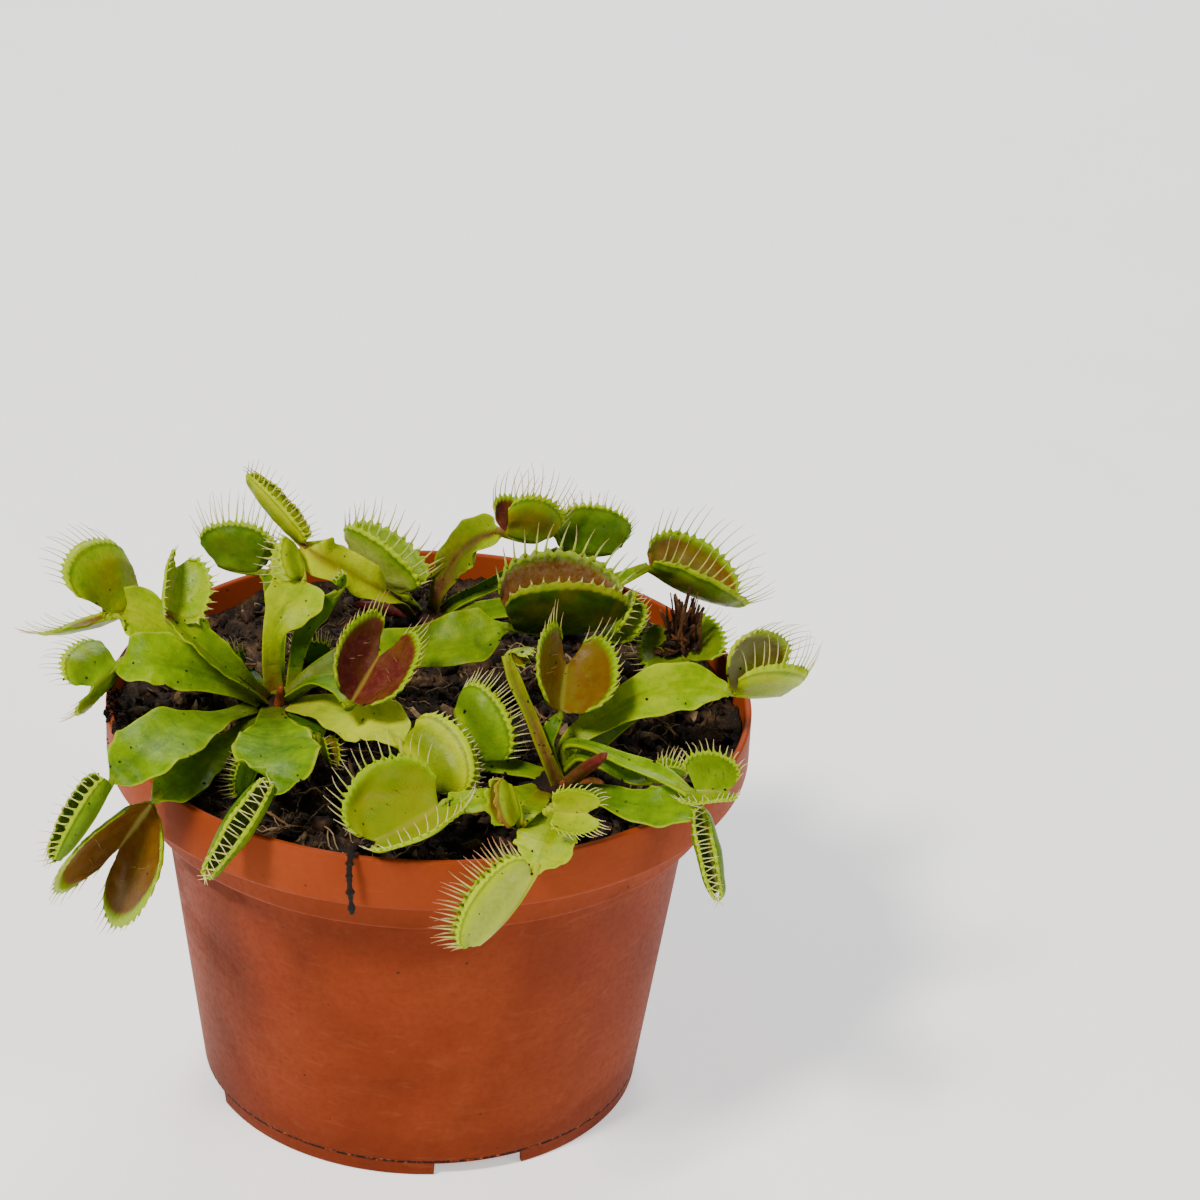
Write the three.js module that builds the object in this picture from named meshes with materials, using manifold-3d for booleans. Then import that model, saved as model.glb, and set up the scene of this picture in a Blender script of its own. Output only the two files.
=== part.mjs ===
import * as THREE from 'three';
import { mergeVertices } from 'three/addons/utils/BufferGeometryUtils.js';
import Module from 'manifold-3d';

// A venus flytrap in a 12 cm plastic nursery pot. Sizes are millimetres, +Z is up, and the origin
// is the middle of the pot's underside, on the surface that it stands on.

// Pot
const potHeight = 79;
const rimRadius = 60;
const rimDepth = 10.2; // height of the outer rim band
const ledgeRadius = 55.5; // second band, below the rim
const ledgeDepth = 7.3;
const ledgeTaper = 1.1;
const bodyTopRadius = 49.9;
const bodyBaseRadius = 41.5;
const wall = 1.3;
const rimEdge = 0.4; // small slope around the top of the rim
const bandDraft = 0.1; // the rim band widens by this much toward its top
const baseEdge = 1.2; // height of the small slope around the foot
const baseInset = 0.3; // and its width
const footHeight = 3.2; // the floor of the pot stands this high, on its foot ring
const padRadius = 12; // middle of the floor, pressed down level with the foot ring
const padSlope = 3;
const notchCount = 4;
const notchWidth = 17;
const notchHeight = 2.8;
const notchAngle = -74; // degrees round from +X
const drainCount = 6;
const drainRadius = 3.5;
const drainRing = 29; // radius that the drain holes lie on
const drainSides = 10;
const potSides = 32;

// Soil
const soilTop = 74.5;
const soilSides = 22;
const soilRings = [0, 12, 24, 36, 48];
const soilRoughness = 1; // height of the lumps in its top
const lumpPitch = [0.31, 0.17, 0.27, 0.11]; // how fast the lumps follow each other, per millimetre
const rimClearance = 0.2; // a little more room beside the rim
const gap = 0.3; // clearance between pieces that touch

// Crowns: the leaves of one plant grow together inside this radius
const crownRadius = 9;
const domeRadius = 7;
const domeSides = 10;
const stubSides = 7;
const crownCentres = { left: [-29, -1, 75], back: [-1.5, 33, 76], right: [22.5, -27.5, 75] };
// Stubs of dead stalks and a bud in the crowns: from, to, radius
const crownStubs = {
  left: [[[-28.5, -3.5, 77], [-27, -5, 83.5], 1]],
  back: [
    [[-3, 32, 78.5], [-15, 34, 80.5], 1.4],
    [[0, 33, 78], [7, 36.5, 79.5], 1.3],
  ],
  right: [
    [[24.6, -33, 79.5], [31.8, -41, 91.5], 1.4],
    [[28, -27, 76], [32, -31, 79.5], 1.1],
    [[24, -33.5, 78], [24.3, -38.5, 84], 0.9],
  ],
};

// Leaves: the same shares of the half width are used across blades and traps
const shares = [-1, -0.5, 0, 0.5, 1];
const leafThickness = [0.7, 0.9, 1.3, 0.9, 0.7];
const baseShares = [-1, 0, 1]; // a leaf's base in the crown is plainer
const baseThickness = [0.7, 1.3, 0.7];
const neckWidth = 1.8; // no leaf is narrower
const neckLength = 1.2; // from the neck to where the lobes start
const jointRadius = 0.95; // the stout joint between neck and hinge
const jointSides = 4;
const jointOverlap = 0.6; // how far the joint reaches back into the neck
const jointReach = 0.4; // and on along the hinge, as a share of its first step
const fanAngle = 38; // the lobe's ends lean out past the hinge by this many degrees
const lobeRoundness = 0.7; // a lobe's outline: 1 is a slim arc, less is squarer
const hingeArch = 0.07; // sag of the hinge, as a share of its length
const toothSqueeze = 0.22; // how far a tooth's root is drawn in at each side, as a share of a step
const toothLean = 8; // teeth lean in over the mouth by this many degrees
const waveShare = 0.1; // height of the wave in a blade's margin, as a share of its half width
const waveCount = 2.5;

// Dead twig, from the soil over the rim and down the outside
const twigPoints = [
  [-11, -50, 75.2], [-12.5, -56.5, 79.8], [-13, -60, 80.2], [-13.2, -61.8, 77], [-12.6, -61.9, 69.5],
];
const twigRadius = 0.7;
const twigSides = 6;
const twigSteps = 6;

// Leaves, by plant. A row is a point of the midrib, from crown to neck, and the width there. face
// is the way the blade looks, fold the angle of its wings, and hinge and mouth the trap's directions.
const leaves = {
  left: {
    upright: {
      rows: [[-29, 0, 77, 4], [-29.5, -1, 86, 3.6], [-29, -0.5, 92, 4.4],
        [-26.5, 1.5, 96, 10], [-24.5, 4, 98, 10.5], [-24, 6, 99, 1.8]],
      face: [0.1, -0.6, 0.8], fold: 16,
      trap: { length: 6.5, depth: 6.5, gape: 60, cup: 45, teeth: 3, tooth: 3, sweep: 8,
        hinge: [-0.2, 0.7, 0.7], mouth: [-1, -0.2, 0.2], ends: [0.5, 0.5] },
    },
    folded: {
      rows: [[-30.5, -3, 79, 3.5], [-35, -8.5, 86, 5.5], [-41, -9.5, 92, 8.5],
        [-45, -9, 96, 8.5], [-48, -8, 98.5, 1.8]],
      face: [0.5, -0.5, 0.7], fold: 45,
      trap: { length: 9.5, depth: 8, gape: 80, cup: 40, teeth: 3, tooth: 2, sweep: 0,
        hinge: [0.1, 0.7, 0.7], mouth: [0.6, -0.7, 0.4], ends: [0.5, 0.5] },
    },
    wide: {
      rows: [[-31, -2, 78, 3.4], [-37, -6.5, 83.5, 4.3], [-44, -8.5, 88, 9],
        [-50.5, -9.5, 90.5, 11], [-55, -9.5, 90, 8], [-57, -7.5, 88.5, 1.8]],
      face: [0, -0.6, 0.8], fold: 10,
      trap: { length: 9, depth: 9, gape: 90, cup: 45, teeth: 3, tooth: 4, sweep: 8,
        hinge: [-0.5, -0.9, -0.1], mouth: [-0.9, 0.3, -0.3], ends: [0.5, 0.5] },
    },
    high: {
      rows: [[-31.5, 1, 77, 3.5], [-39.5, 5, 80.5, 4], [-47.5, 9.5, 84, 6],
        [-54, 11, 88, 11], [-58.5, 10, 90, 8.5], [-60.5, 7, 90.5, 1.8]],
      face: [0.1, -0.6, 0.8], fold: 12,
      trap: { length: 10.8, depth: 16.2, gape: 76, cup: 44, teeth: 4, tooth: 5, sweep: -24,
        hinge: [0.5, 0.8, -0.2], mouth: [-0.8, 0.6, 0.2], ends: [0.52, 0.8] },
    },
    low: {
      rows: [[-32, -3, 77.5, 3.2], [-37.5, -14.5, 81.5, 4.2], [-44, -33, 89, 11.5],
        [-49.5, -45.5, 91.5, 12.5], [-53, -49.5, 90, 8], [-55, -50.5, 88.5, 1.8]],
      face: [0, -0.5, 0.8], fold: 10,
      trap: { length: 15, depth: 7.5, gape: 22, cup: 95, teeth: 4, tooth: 4, sweep: 16,
        hinge: [-0.5, -0.5, -0.7], mouth: [-0.5, -0.5, 0.7], ends: [0.5, 0.5] },
    },
    under: {
      rows: [[-31, -2.5, 76.5, 3], [-35.5, -16, 78.5, 3.2], [-40.5, -30, 81, 7.5],
        [-45, -39, 81.5, 9], [-48, -43.5, 81, 1.8]],
      face: [0.2, -0.5, 0.8], fold: 10,
      trap: { length: 14.1, depth: 19.1, gape: 56, cup: 35, teeth: 4, tooth: 4, sweep: 30,
        hinge: [-0.5, 0.2, -0.9], mouth: [-0.2, -1, -0.1], ends: [0.31, 0.31] },
    },
    shade: {
      rows: [[-29, -3, 76.5, 2.6], [-29.5, -14.5, 79, 2.8], [-30, -22.5, 80, 3], [-30.5, -27, 80.5, 1.8]],
      face: [0.1, -0.4, 0.9], fold: 10,
      trap: { length: 7.2, depth: 4.6, gape: 44, cup: 40, teeth: 3, tooth: 2.5, sweep: 8,
        hinge: [-0.3, -0.7, -0.6], mouth: [-0.9, -0.1, 0.4], ends: [0.5, 0.5] },
    },
    heart: {
      rows: [[-29, -4.5, 78, 4], [-28.5, -19.5, 83, 7], [-27.5, -32, 86.5, 14],
        [-26.5, -42.5, 88.5, 15], [-27, -48, 88.5, 9], [-28, -48, 87, 1.8]],
      face: [0, -0.5, 0.8], fold: 8,
      trap: { length: 18, depth: 8, gape: 24, cup: 115, teeth: 4, tooth: 3.5, sweep: 10,
        hinge: [-0.5, -0.6, -0.6], mouth: [0.1, -0.7, 0.7], ends: [0.5, 0.5] },
    },
    long: {
      rows: [[-26.5, -2, 77.5, 3.5], [-20.5, -9, 81, 6], [-14, -18, 84, 10],
        [-8, -24.5, 85.5, 10.5], [-5, -30, 85.5, 1.8]],
      face: [0, -0.5, 0.9], fold: 10,
      trap: { length: 11, depth: 12, gape: 26, cup: 70, teeth: 4, tooth: 1.5, sweep: 8,
        hinge: [0.6, -0.7, -0.5], mouth: [0.9, 0.2, 0.5], ends: [0.5, 0.5] },
    },
    red: {
      rows: [[-26.5, -2.5, 79.5, 3.5], [-23.5, -6.5, 84, 4], [-19.5, -11.5, 88, 4.5],
        [-16, -19, 90, 4], [-14.5, -24.5, 90, 1.8]],
      face: [0, -0.3, 1], fold: 12,
      trap: { length: 12, depth: 12, gape: 80, cup: 35, teeth: 4, tooth: 5, sweep: 22,
        hinge: [0.4, 0.8, 0.4], mouth: [0.2, -0.6, 0.8], ends: [0.3, 0.7] },
    },
    young: {
      rows: [[-27.5, -2, 76.5, 2.4], [-24, -7, 77.5, 4.3], [-21, -12, 78.5, 4], [-20, -16.5, 79, 1.8]],
      face: [0.2, -0.4, 0.9], fold: 10,
      trap: { length: 5, depth: 4, gape: 40, cup: 35, teeth: 2, tooth: 2.5, sweep: 8,
        hinge: [0.3, -0.6, -0.7], mouth: [0.6, -0.6, 0.6], ends: [0.5, 0.5] },
    },
    bud: {
      rows: [[-31, -1, 78, 3], [-32.5, 2.5, 79.5, 3.6], [-34, 6.5, 80, 1.6]],
      face: [0.2, -0.4, 0.9], fold: 10,
      trap: { length: 4.5, depth: 4.5, gape: 35, cup: 35, teeth: 2, tooth: 3, sweep: 8,
        hinge: [-0.9, 0.3, -0.3], mouth: [0, 0.3, 1], ends: [0.5, 0.5] },
    },
    dark: {
      rows: [[-27, 0.5, 77.5, 3], [-23.5, 3.5, 79, 4], [-20, 6, 80.5, 4], [-18.5, 8, 81, 1.6]],
      face: [0, -0.4, 0.9], fold: 10,
      trap: { length: 6, depth: 4.5, gape: 40, cup: 45, teeth: 2, tooth: 3, sweep: 8,
        hinge: [-1, 0, 0.1], mouth: [0.1, 0.7, 0.7], ends: [0.5, 0.5] },
    },
    curved: {
      rows: [[-25.5, 0, 79, 3], [-25, 1.5, 85, 3], [-23.5, 2.5, 91, 4],
        [-21, 4.5, 94, 4.5], [-17.5, 7.5, 96, 1.6]],
      face: [0.3, -1, 0.1], fold: 10,
      trap: { length: 3, depth: 2.5, gape: 50, cup: 35, teeth: 2, tooth: 1, sweep: 8,
        hinge: [0.5, 0.4, 0.8], mouth: [-0.9, -0.1, 0.5], ends: [0.5, 0.5] },
    },
    reach: {
      rows: [[-26.5, -1.5, 79, 3.5], [-19.5, 0.5, 84, 4.5], [-10.5, 1, 88, 7], [0.5, -2.5, 91, 10],
        [9, -2, 93, 11], [12.5, -1.5, 94, 4], [14, -2, 95, 1.8]],
      face: [0, -0.5, 0.8], fold: 12,
      trap: { length: 16.5, depth: 16, gape: 50, cup: 45, teeth: 4, tooth: 6, sweep: 8,
        hinge: [1, 0.2, -0.1], mouth: [0, 0, 1], ends: [0.5, 0.5] },
    },
    rear: {
      rows: [[-28.5, -1, 79, 3], [-29, 7, 84, 3.5], [-29, 13.5, 88, 4],
        [-30, 18, 92, 4], [-32, 19.5, 94, 1.8]],
      face: [0.1, -0.7, 0.7], fold: 10,
      trap: { length: 9, depth: 10, gape: 46, cup: 45, teeth: 3, tooth: 6, sweep: 8,
        hinge: [-1, 0.3, 0], mouth: [0, 0.6, 0.8], ends: [0.6, 0.6] },
    },
  },
  back: {
    left: {
      rows: [[-4.5, 30, 81, 3.5], [-9, 19, 90.5, 5.6], [-15.5, 16, 96, 8.5],
        [-21, 13, 100.5, 8.5], [-24.5, 14.5, 102.5, 1.8]],
      face: [-0.1, -0.6, 0.8], fold: 14,
      trap: { length: 15, depth: 6.5, gape: 20, cup: 100, teeth: 4, tooth: 4, sweep: 8,
        hinge: [-0.7, 0.3, 0.7], mouth: [0.5, -0.5, 0.8], ends: [0.5, 0.5] },
    },
    cup: {
      rows: [[-2.5, 36.5, 77.5, 3.2], [-3.5, 31.5, 82, 3.2], [-5, 27.5, 85.5, 1.8]],
      face: [0.2, -0.5, 0.9], fold: 10,
      trap: { length: 14, depth: 9.8, gape: 64, cup: 50, teeth: 4, tooth: 5, sweep: 4,
        hinge: [-0.8, 0.4, 0.5], mouth: [0.5, 0.1, 0.8], ends: [0.6, 0.6] },
    },
    right: {
      rows: [[0, 33.5, 79, 3.5], [1.5, 31.5, 86, 4.5], [4.5, 31.5, 92, 9],
        [8, 30.5, 96, 10.5], [11, 27.5, 99, 7], [12.5, 27, 100, 1.8]],
      face: [-0.2, -0.5, 0.8], fold: 12,
      trap: { length: 9, depth: 10, gape: 55, cup: 45, teeth: 4, tooth: 6, sweep: 8,
        hinge: [0.8, 0.4, -0.4], mouth: [-0.1, 0.4, 0.9], ends: [0.5, 0.5] },
    },
    groove: {
      rows: [[1, 33.5, 77.5, 3], [4.5, 32.5, 81.5, 3.2], [11, 33, 85, 3.5],
        [18.5, 35, 88.5, 3.5], [24, 35.5, 92, 1.8]],
      face: [0, -0.5, 0.8], fold: 30,
      trap: { length: 11, depth: 10.5, gape: 30, cup: 60, teeth: 4, tooth: 4, sweep: 8,
        hinge: [1, 0.2, -0.1], mouth: [0, 0.7, 0.7], ends: [0.5, 0.5] },
    },
    far: {
      rows: [[0, 32, 77.5, 3.5], [10, 29.5, 81.5, 4.5], [21.5, 25, 86, 5],
        [33, 23.5, 91, 4], [40.5, 23, 95.5, 1.8]],
      face: [0, -0.5, 0.8], fold: 12,
      trap: { length: 18.2, depth: 11.2, gape: 80, cup: 57, teeth: 4, tooth: 7, sweep: 4,
        hinge: [0.8, 0.2, -0.5], mouth: [0.6, 0, 0.8], ends: [0.38, 0.39] },
    },
  },
  right: {
    front: {
      rows: [[22, -28.5, 76.5, 3.5], [16, -36, 79, 4.5], [10, -42.5, 81.5, 5.5],
        [4.5, -46, 82.5, 5], [3, -46, 83, 1.8]],
      face: [0, -0.4, 0.9], fold: 10,
      trap: { length: 15, depth: 13.5, gape: 96, cup: 50, teeth: 4, tooth: 6, sweep: 8,
        hinge: [-0.8, -0.6, -0.2], mouth: [-0.2, -0.4, 0.9], ends: [0.3, 0.35] },
    },
    mid: {
      rows: [[24, -24, 78.5, 2.8], [28, -16.5, 81, 3], [29.5, -8, 83.5, 3.2],
        [31, 0.5, 86.5, 3.2], [32, 5, 88.5, 1.8]],
      face: [-0.3, -0.7, 0.7], fold: 10,
      trap: { length: 9, depth: 8, gape: 30, cup: 60, teeth: 3, tooth: 2, sweep: 8,
        hinge: [0.3, 0.9, 0.3], mouth: [0.8, -0.1, 0.6], ends: [0.5, 0.5] },
    },
    rear: {
      rows: [[25.5, -24.5, 77.5, 3], [34, -11.5, 80, 4.3], [41, -4.5, 83, 6],
        [45.5, 0.5, 84.5, 3], [48, 5, 84.5, 1.8]],
      face: [0, -0.5, 0.8], fold: 12,
      trap: { length: 8.2, depth: 8.4, gape: 169, cup: 21, teeth: 3, tooth: 3, sweep: 5,
        hinge: [-0.2, 0.9, 0.3], mouth: [-0.2, -0.3, 0.9], ends: [0.46, 0.64] },
    },
    broad: {
      rows: [[24, -26.5, 79.5, 3.5], [26, -22.5, 83, 4], [32, -20, 86.5, 6], [39, -17.5, 89.5, 9.5],
        [47, -14.5, 90, 10], [52.5, -14, 89.5, 5], [54.5, -14.5, 89.5, 1.8]],
      face: [0, -0.5, 0.8], fold: 14,
      trap: { length: 8.3, depth: 14.6, gape: 36, cup: 72, teeth: 4, tooth: 6, sweep: -11,
        hinge: [0.7, 0.6, -0.4], mouth: [0.5, -0.1, 0.8], ends: [0.3, 0.73] },
    },
    pink: {
      rows: [[23.5, -30, 78, 3.4], [21, -30, 84, 2.8], [18, -28, 91, 2.6],
        [15, -26, 97, 2.8], [13.5, -24, 101, 1.8]],
      face: [0.2, -0.8, 0.5], fold: 30,
      trap: { length: 4, depth: 3.5, gape: 45, cup: 35, teeth: 2, tooth: 0.8, sweep: 8,
        hinge: [0.7, 0.7, 0], mouth: [0.5, -0.8, -0.3], ends: [0.5, 0.5] },
    },
    open: {
      rows: [[23, -29.5, 79.5, 2.8], [21, -28, 84.5, 3.3], [22, -27, 88, 3], [23.5, -25.5, 89.5, 1.8]],
      face: [0, -0.6, 0.8], fold: 20,
      trap: { length: 11, depth: 12, gape: 85, cup: 40, teeth: 4, tooth: 5, sweep: 18,
        hinge: [0.1, 0.9, 0.5], mouth: [0.3, -0.5, 0.8], ends: [0.3, 0.65] },
    },
    smooth: {
      rows: [[21.5, -28, 78.5, 3], [17, -27.5, 79.5, 3.4], [12.5, -27.5, 80, 3.4], [9, -28.5, 80.5, 1.8]],
      face: [0, -0.4, 0.9], fold: 10,
      trap: { length: 11, depth: 10.5, gape: 50, cup: 55, teeth: 4, tooth: 4, sweep: 8,
        hinge: [-0.4, 0.5, 0.8], mouth: [0.9, 0.2, 0.3], ends: [0.5, 0.5] },
    },
    curl: {
      rows: [[21, -32.5, 77.5, 3], [19, -43, 81, 4.2], [17.5, -49.5, 83, 3.5], [16.5, -53, 83.5, 1.8]],
      face: [0, -0.4, 0.9], fold: 10,
      trap: { length: 7, depth: 5.8, gape: 45, cup: 35, teeth: 2, tooth: 0.8, sweep: 8,
        hinge: [-0.3, 0.3, 0.9], mouth: [-0.9, -0.4, 0.1], ends: [0.5, 0.5] },
    },
    small: {
      rows: [[24.5, -35.5, 78.5, 2.6], [23.5, -45.5, 83, 3], [21, -55.5, 87.5, 1.8]],
      face: [0, -0.4, 0.9], fold: 10,
      trap: { length: 7, depth: 6, gape: 84, cup: 35, teeth: 3, tooth: 3, sweep: 8,
        hinge: [1, 0.1, -0.1], mouth: [0.3, -0.8, 0.5], ends: [0.5, 0.5] },
    },
    hanging: {
      rows: [[23, -31.5, 76, 3.5], [22, -43, 79, 6], [21, -55, 81.5, 10.5],
        [20, -62, 82, 9.5], [19, -65.5, 81.5, 1.8]],
      face: [0, -0.5, 0.9], fold: 10,
      trap: { length: 16.5, depth: 8.5, gape: 18, cup: 60, teeth: 4, tooth: 5.5, sweep: 8,
        hinge: [-0.6, -0.4, -0.7], mouth: [-0.8, 0.1, 0.6], ends: [0.4, 0.35] },
    },
    side: {
      rows: [[24.5, -30, 77, 3.5], [31, -36.5, 79.5, 5], [38, -44, 82, 8],
        [44.5, -45, 82.5, 7.5], [48.5, -43.5, 81.5, 1.8]],
      face: [0, -0.5, 0.9], fold: 12,
      trap: { length: 15, depth: 7, gape: 22, cup: 110, teeth: 4, tooth: 3.5, sweep: 8,
        hinge: [0.2, -0.6, -0.7], mouth: [-0.2, -0.8, 0.6], ends: [0.5, 0.5] },
    },
    arch: {
      rows: [[24, -26, 80, 2.2], [25, -27.5, 85, 2.2], [29, -32.5, 87.5, 2.4],
        [34.5, -38, 88, 3], [41, -42, 87.5, 4], [46, -47, 87, 1.8]],
      face: [0, -0.4, 0.9], fold: 20,
      trap: { length: 7, depth: 8.5, gape: 75, cup: 45, teeth: 3, tooth: 3.5, sweep: 8,
        hinge: [0.9, -0.3, 0.2], mouth: [0.3, -0.6, 0.8], ends: [0.6, 0.5] },
    },
    thin: {
      rows: [[24, -26.5, 78.5, 2.2], [27, -29.5, 83.5, 2.2], [31, -33.5, 84.5, 2.5],
        [36.5, -35, 82.5, 3.5], [40, -34.5, 82, 1.6]],
      face: [0, -0.4, 0.9], fold: 20,
      trap: { length: 4.5, depth: 4.5, gape: 40, cup: 45, teeth: 3, tooth: 3, sweep: 8,
        hinge: [1, 0.2, -0.1], mouth: [-0.2, 0, 1], ends: [0.5, 0.5] },
    },
  },
};

const wasm = await Module();
wasm.setup();

const degrees = (a) => (a * Math.PI) / 180;
const vector = (a) => new THREE.Vector3(a[0], a[1], a[2]);

// A closed mesh as a solid, and a solid as a mesh
function solidOf(geometry) {
  const bare = geometry.clone();
  bare.deleteAttribute('normal');
  bare.deleteAttribute('uv');
  const merged = mergeVertices(bare, 1e-4);
  return new wasm.Manifold(new wasm.Mesh({
    numProp: 3,
    vertProperties: merged.attributes.position.array,
    triVerts: new Uint32Array(merged.index.array),
  }));
}

function geometryOf(solid) {
  const { vertProperties, triVerts } = solid.getMesh();
  const geometry = new THREE.BufferGeometry();
  geometry.setAttribute('position', new THREE.BufferAttribute(vertProperties, 3));
  geometry.setIndex(new THREE.BufferAttribute(triVerts, 1));
  return geometry;
}

function named(name, geometry, color, roughness = 0.55) {
  const material = new THREE.MeshStandardMaterial({ color, roughness, metalness: 0 });
  const mesh = new THREE.Mesh(geometry, material);
  mesh.name = name;
  return mesh;
}

// One row of numbers on the smooth curve through rows, at t from 0 at the first to 1 at the last
function rowAt(rows, t) {
  const last = rows.length - 1;
  const k = Math.min(Math.floor(t * last), last - 1);
  const f = t * last - k;
  return rows[k].map((b, axis) => {
    const c = rows[k + 1][axis];
    const a = k > 0 ? rows[k - 1][axis] : 2 * b - c;
    const d = k + 2 <= last ? rows[k + 2][axis] : 2 * c - b;
    const slope = [(c - a) / 2, (d - b) / 2];
    return b + f * slope[0] + f * f * (3 * (c - b) - 2 * slope[0] - slope[1])
      + f * f * f * (2 * (b - c) + slope[0] + slope[1]);
  });
}

// Solid sheet: a grid of points with a thickness for each. Where toothTip gives a point, the edge
// between two grid lines is drawn out to it.
function sheet(grid, thickness, toothTip = () => null) {
  const rows = grid.length;
  const columns = grid[0].length;
  const positions = [];
  const index = [];
  const id = (i, j, under) => 2 * (i * columns + j) + under;
  const step = (i, j, di, dj) => {
    const a = grid[Math.min(i + di, rows - 1)][Math.min(j + dj, columns - 1)];
    return a.clone().sub(grid[Math.max(i - di, 0)][Math.max(j - dj, 0)]);
  };
  for (let i = 0; i < rows; i++) {
    for (let j = 0; j < columns; j++) {
      const normal = step(i, j, 1, 0).cross(step(i, j, 0, 1)).normalize();
      const half = thickness[j] / 2;
      positions.push(...grid[i][j].clone().addScaledVector(normal, half));
      positions.push(...grid[i][j].clone().addScaledVector(normal, -half));
    }
  }
  const quad = (a, b, c, d) => index.push(a, b, c, a, c, d);
  for (let i = 0; i + 1 < rows; i++) {
    for (let j = 0; j + 1 < columns; j++) {
      quad(id(i, j, 0), id(i + 1, j, 0), id(i + 1, j + 1, 0), id(i, j + 1, 0));
      index.push(id(i, j, 1), id(i + 1, j + 1, 1), id(i + 1, j, 1));
      index.push(id(i, j, 1), id(i, j + 1, 1), id(i + 1, j + 1, 1));
    }
  }
  for (let j = 0; j + 1 < columns; j++) {
    quad(id(0, j, 0), id(0, j + 1, 0), id(0, j + 1, 1), id(0, j, 1));
    quad(id(rows - 1, j, 1), id(rows - 1, j + 1, 1), id(rows - 1, j + 1, 0), id(rows - 1, j, 0));
  }
  for (const j of [0, columns - 1]) {
    for (let i = 0; i + 1 < rows; i++) {
      let ring = [id(i, j, 1), id(i + 1, j, 1), id(i + 1, j, 0), id(i, j, 0)];
      if (j > 0) ring = ring.reverse();
      const tip = toothTip(i, j);
      if (tip) {
        const top = positions.length / 3;
        positions.push(...tip);
        ring.forEach((corner, k) => index.push(corner, ring[(k + 1) % 4], top));
      } else {
        quad(...ring);
      }
    }
  }
  const geometry = new THREE.BufferGeometry();
  geometry.setAttribute('position', new THREE.Float32BufferAttribute(positions, 3));
  geometry.setIndex(index);
  return solidOf(geometry);
}

// The blade across at t: its wings rise by the fold on both sides of the midrib, and their margins
// wave up and down
function bladeSection(leaf, t, across = shares) {
  const row = rowAt(leaf.rows, t);
  const tangent = vector(rowAt(leaf.rows, Math.min(t + 0.01, 1)))
    .sub(vector(rowAt(leaf.rows, Math.max(t - 0.01, 0)))).normalize();
  const side = tangent.clone().cross(vector(leaf.face)).normalize();
  const up = side.clone().cross(tangent);
  const half = Math.max(row[3], neckWidth) / 2;
  const fold = degrees(leaf.fold);
  return across.map((share) => {
    const b = Math.abs(share);
    const wave = waveShare * b * b * Math.sin(2 * Math.PI * waveCount * t + 2 * share);
    return vector(row).addScaledVector(side, half * share * Math.cos(fold))
      .addScaledVector(up, half * (b * Math.sin(fold) + wave));
  });
}

// The trap: two cupped lobes on one hinge. Going out from the hinge by the share b, a lobe's
// direction turns from (gape + cup) / 2 to (gape - cup) / 2 away from the mouth's direction.
function trapShape(leaf) {
  const { trap } = leaf;
  const root = vector(leaf.rows.at(-1));
  const along = vector(trap.hinge).normalize();
  const mouth = vector(trap.mouth);
  mouth.addScaledVector(along, -mouth.dot(along)).normalize();
  const across = along.clone().cross(mouth);
  const lobeDirection = (s, side, angle) => {
    const lean = degrees(trap.sweep + fanAngle * (2 * s - 1));
    const out = mouth.clone().multiplyScalar(Math.cos(angle));
    out.addScaledVector(across, side * Math.sin(angle));
    return out.multiplyScalar(Math.cos(lean)).addScaledVector(along, Math.sin(lean));
  };
  const steps = 2 * trap.teeth + 1;
  const share = neckLength / trap.length;
  const turn = degrees(trap.cup);
  const section = (i) => shares.map((side, j) => {
    const b = Math.abs(side);
    const toothEdge = (i + (j > 2 ? 1 : 0)) % 2 ? -1 : 1;
    const narrow = i % steps === 0 ? 0 : toothSqueeze * b * toothEdge;
    const s = share + (1 - share) * (i + narrow) / steps;
    const bulge = Math.max(Math.sin(Math.PI * s), 0) ** lobeRoundness;
    const end = trap.ends[0] * (1 - s) + trap.ends[1] * s;
    const depth = trap.depth * (end + (1 - end) * bulge);
    const chord = turn * b / 2;
    const reach = depth * b * Math.sin(chord) / Math.max(chord, 1e-6);
    return root.clone().addScaledVector(along, trap.length * s)
      .addScaledVector(mouth, -hingeArch * trap.length * 4 * s * (1 - s))
      .addScaledVector(lobeDirection(s, Math.sign(side), (degrees(trap.gape) + turn) / 2 - chord),
        b > 0 ? reach : 0);
  });
  const toothDirection = (s, side) => lobeDirection(s, side,
    degrees((trap.gape - trap.cup) / 2 - toothLean));
  return { grid: Array.from({ length: steps + 1 }, (_, i) => section(i)), toothDirection, steps };
}

// Where a leaf's midrib comes out of a ball around the crown
function shareAt(rows, centre, radius) {
  let t = 0;
  while (t < 1 && vector(rowAt(rows, t)).distanceTo(vector(centre)) < radius) t += 0.002;
  return t;
}

// A leaf: the blade from outside the crown to the neck, a stout joint, then the trap
function makeLeaf(leaf, centre) {
  const start = shareAt(leaf.rows, centre, crownRadius + 2 * gap);
  const count = leaf.rows.length - 1;
  const blade = Array.from({ length: count + 1 }, (_, i) => (
    bladeSection(leaf, start + (1 - start) * i / count)));
  const { grid, toothDirection, steps } = trapShape(leaf);
  const toothTip = (i, j) => {
    if (i === steps || (i + (j > 0 ? 1 : 0)) % 2) return null;
    const foot = grid[i][j].clone().add(grid[i + 1][j]).multiplyScalar(0.5);
    return foot.addScaledVector(toothDirection((i + 0.5) / steps, j > 0 ? 1 : -1), leaf.trap.tooth);
  };
  const neck = blade.at(-1)[2];
  const back = blade.at(-2)[2].clone().sub(neck).setLength(jointOverlap).add(neck);
  const on = grid[0][2].clone().lerp(grid[1][2], jointReach);
  const joint = rod([back.toArray(), on.toArray()], jointRadius, jointSides, 1);
  return sheet(blade, leafThickness).add(joint).add(sheet(grid, leafThickness, toothTip));
}

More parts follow.
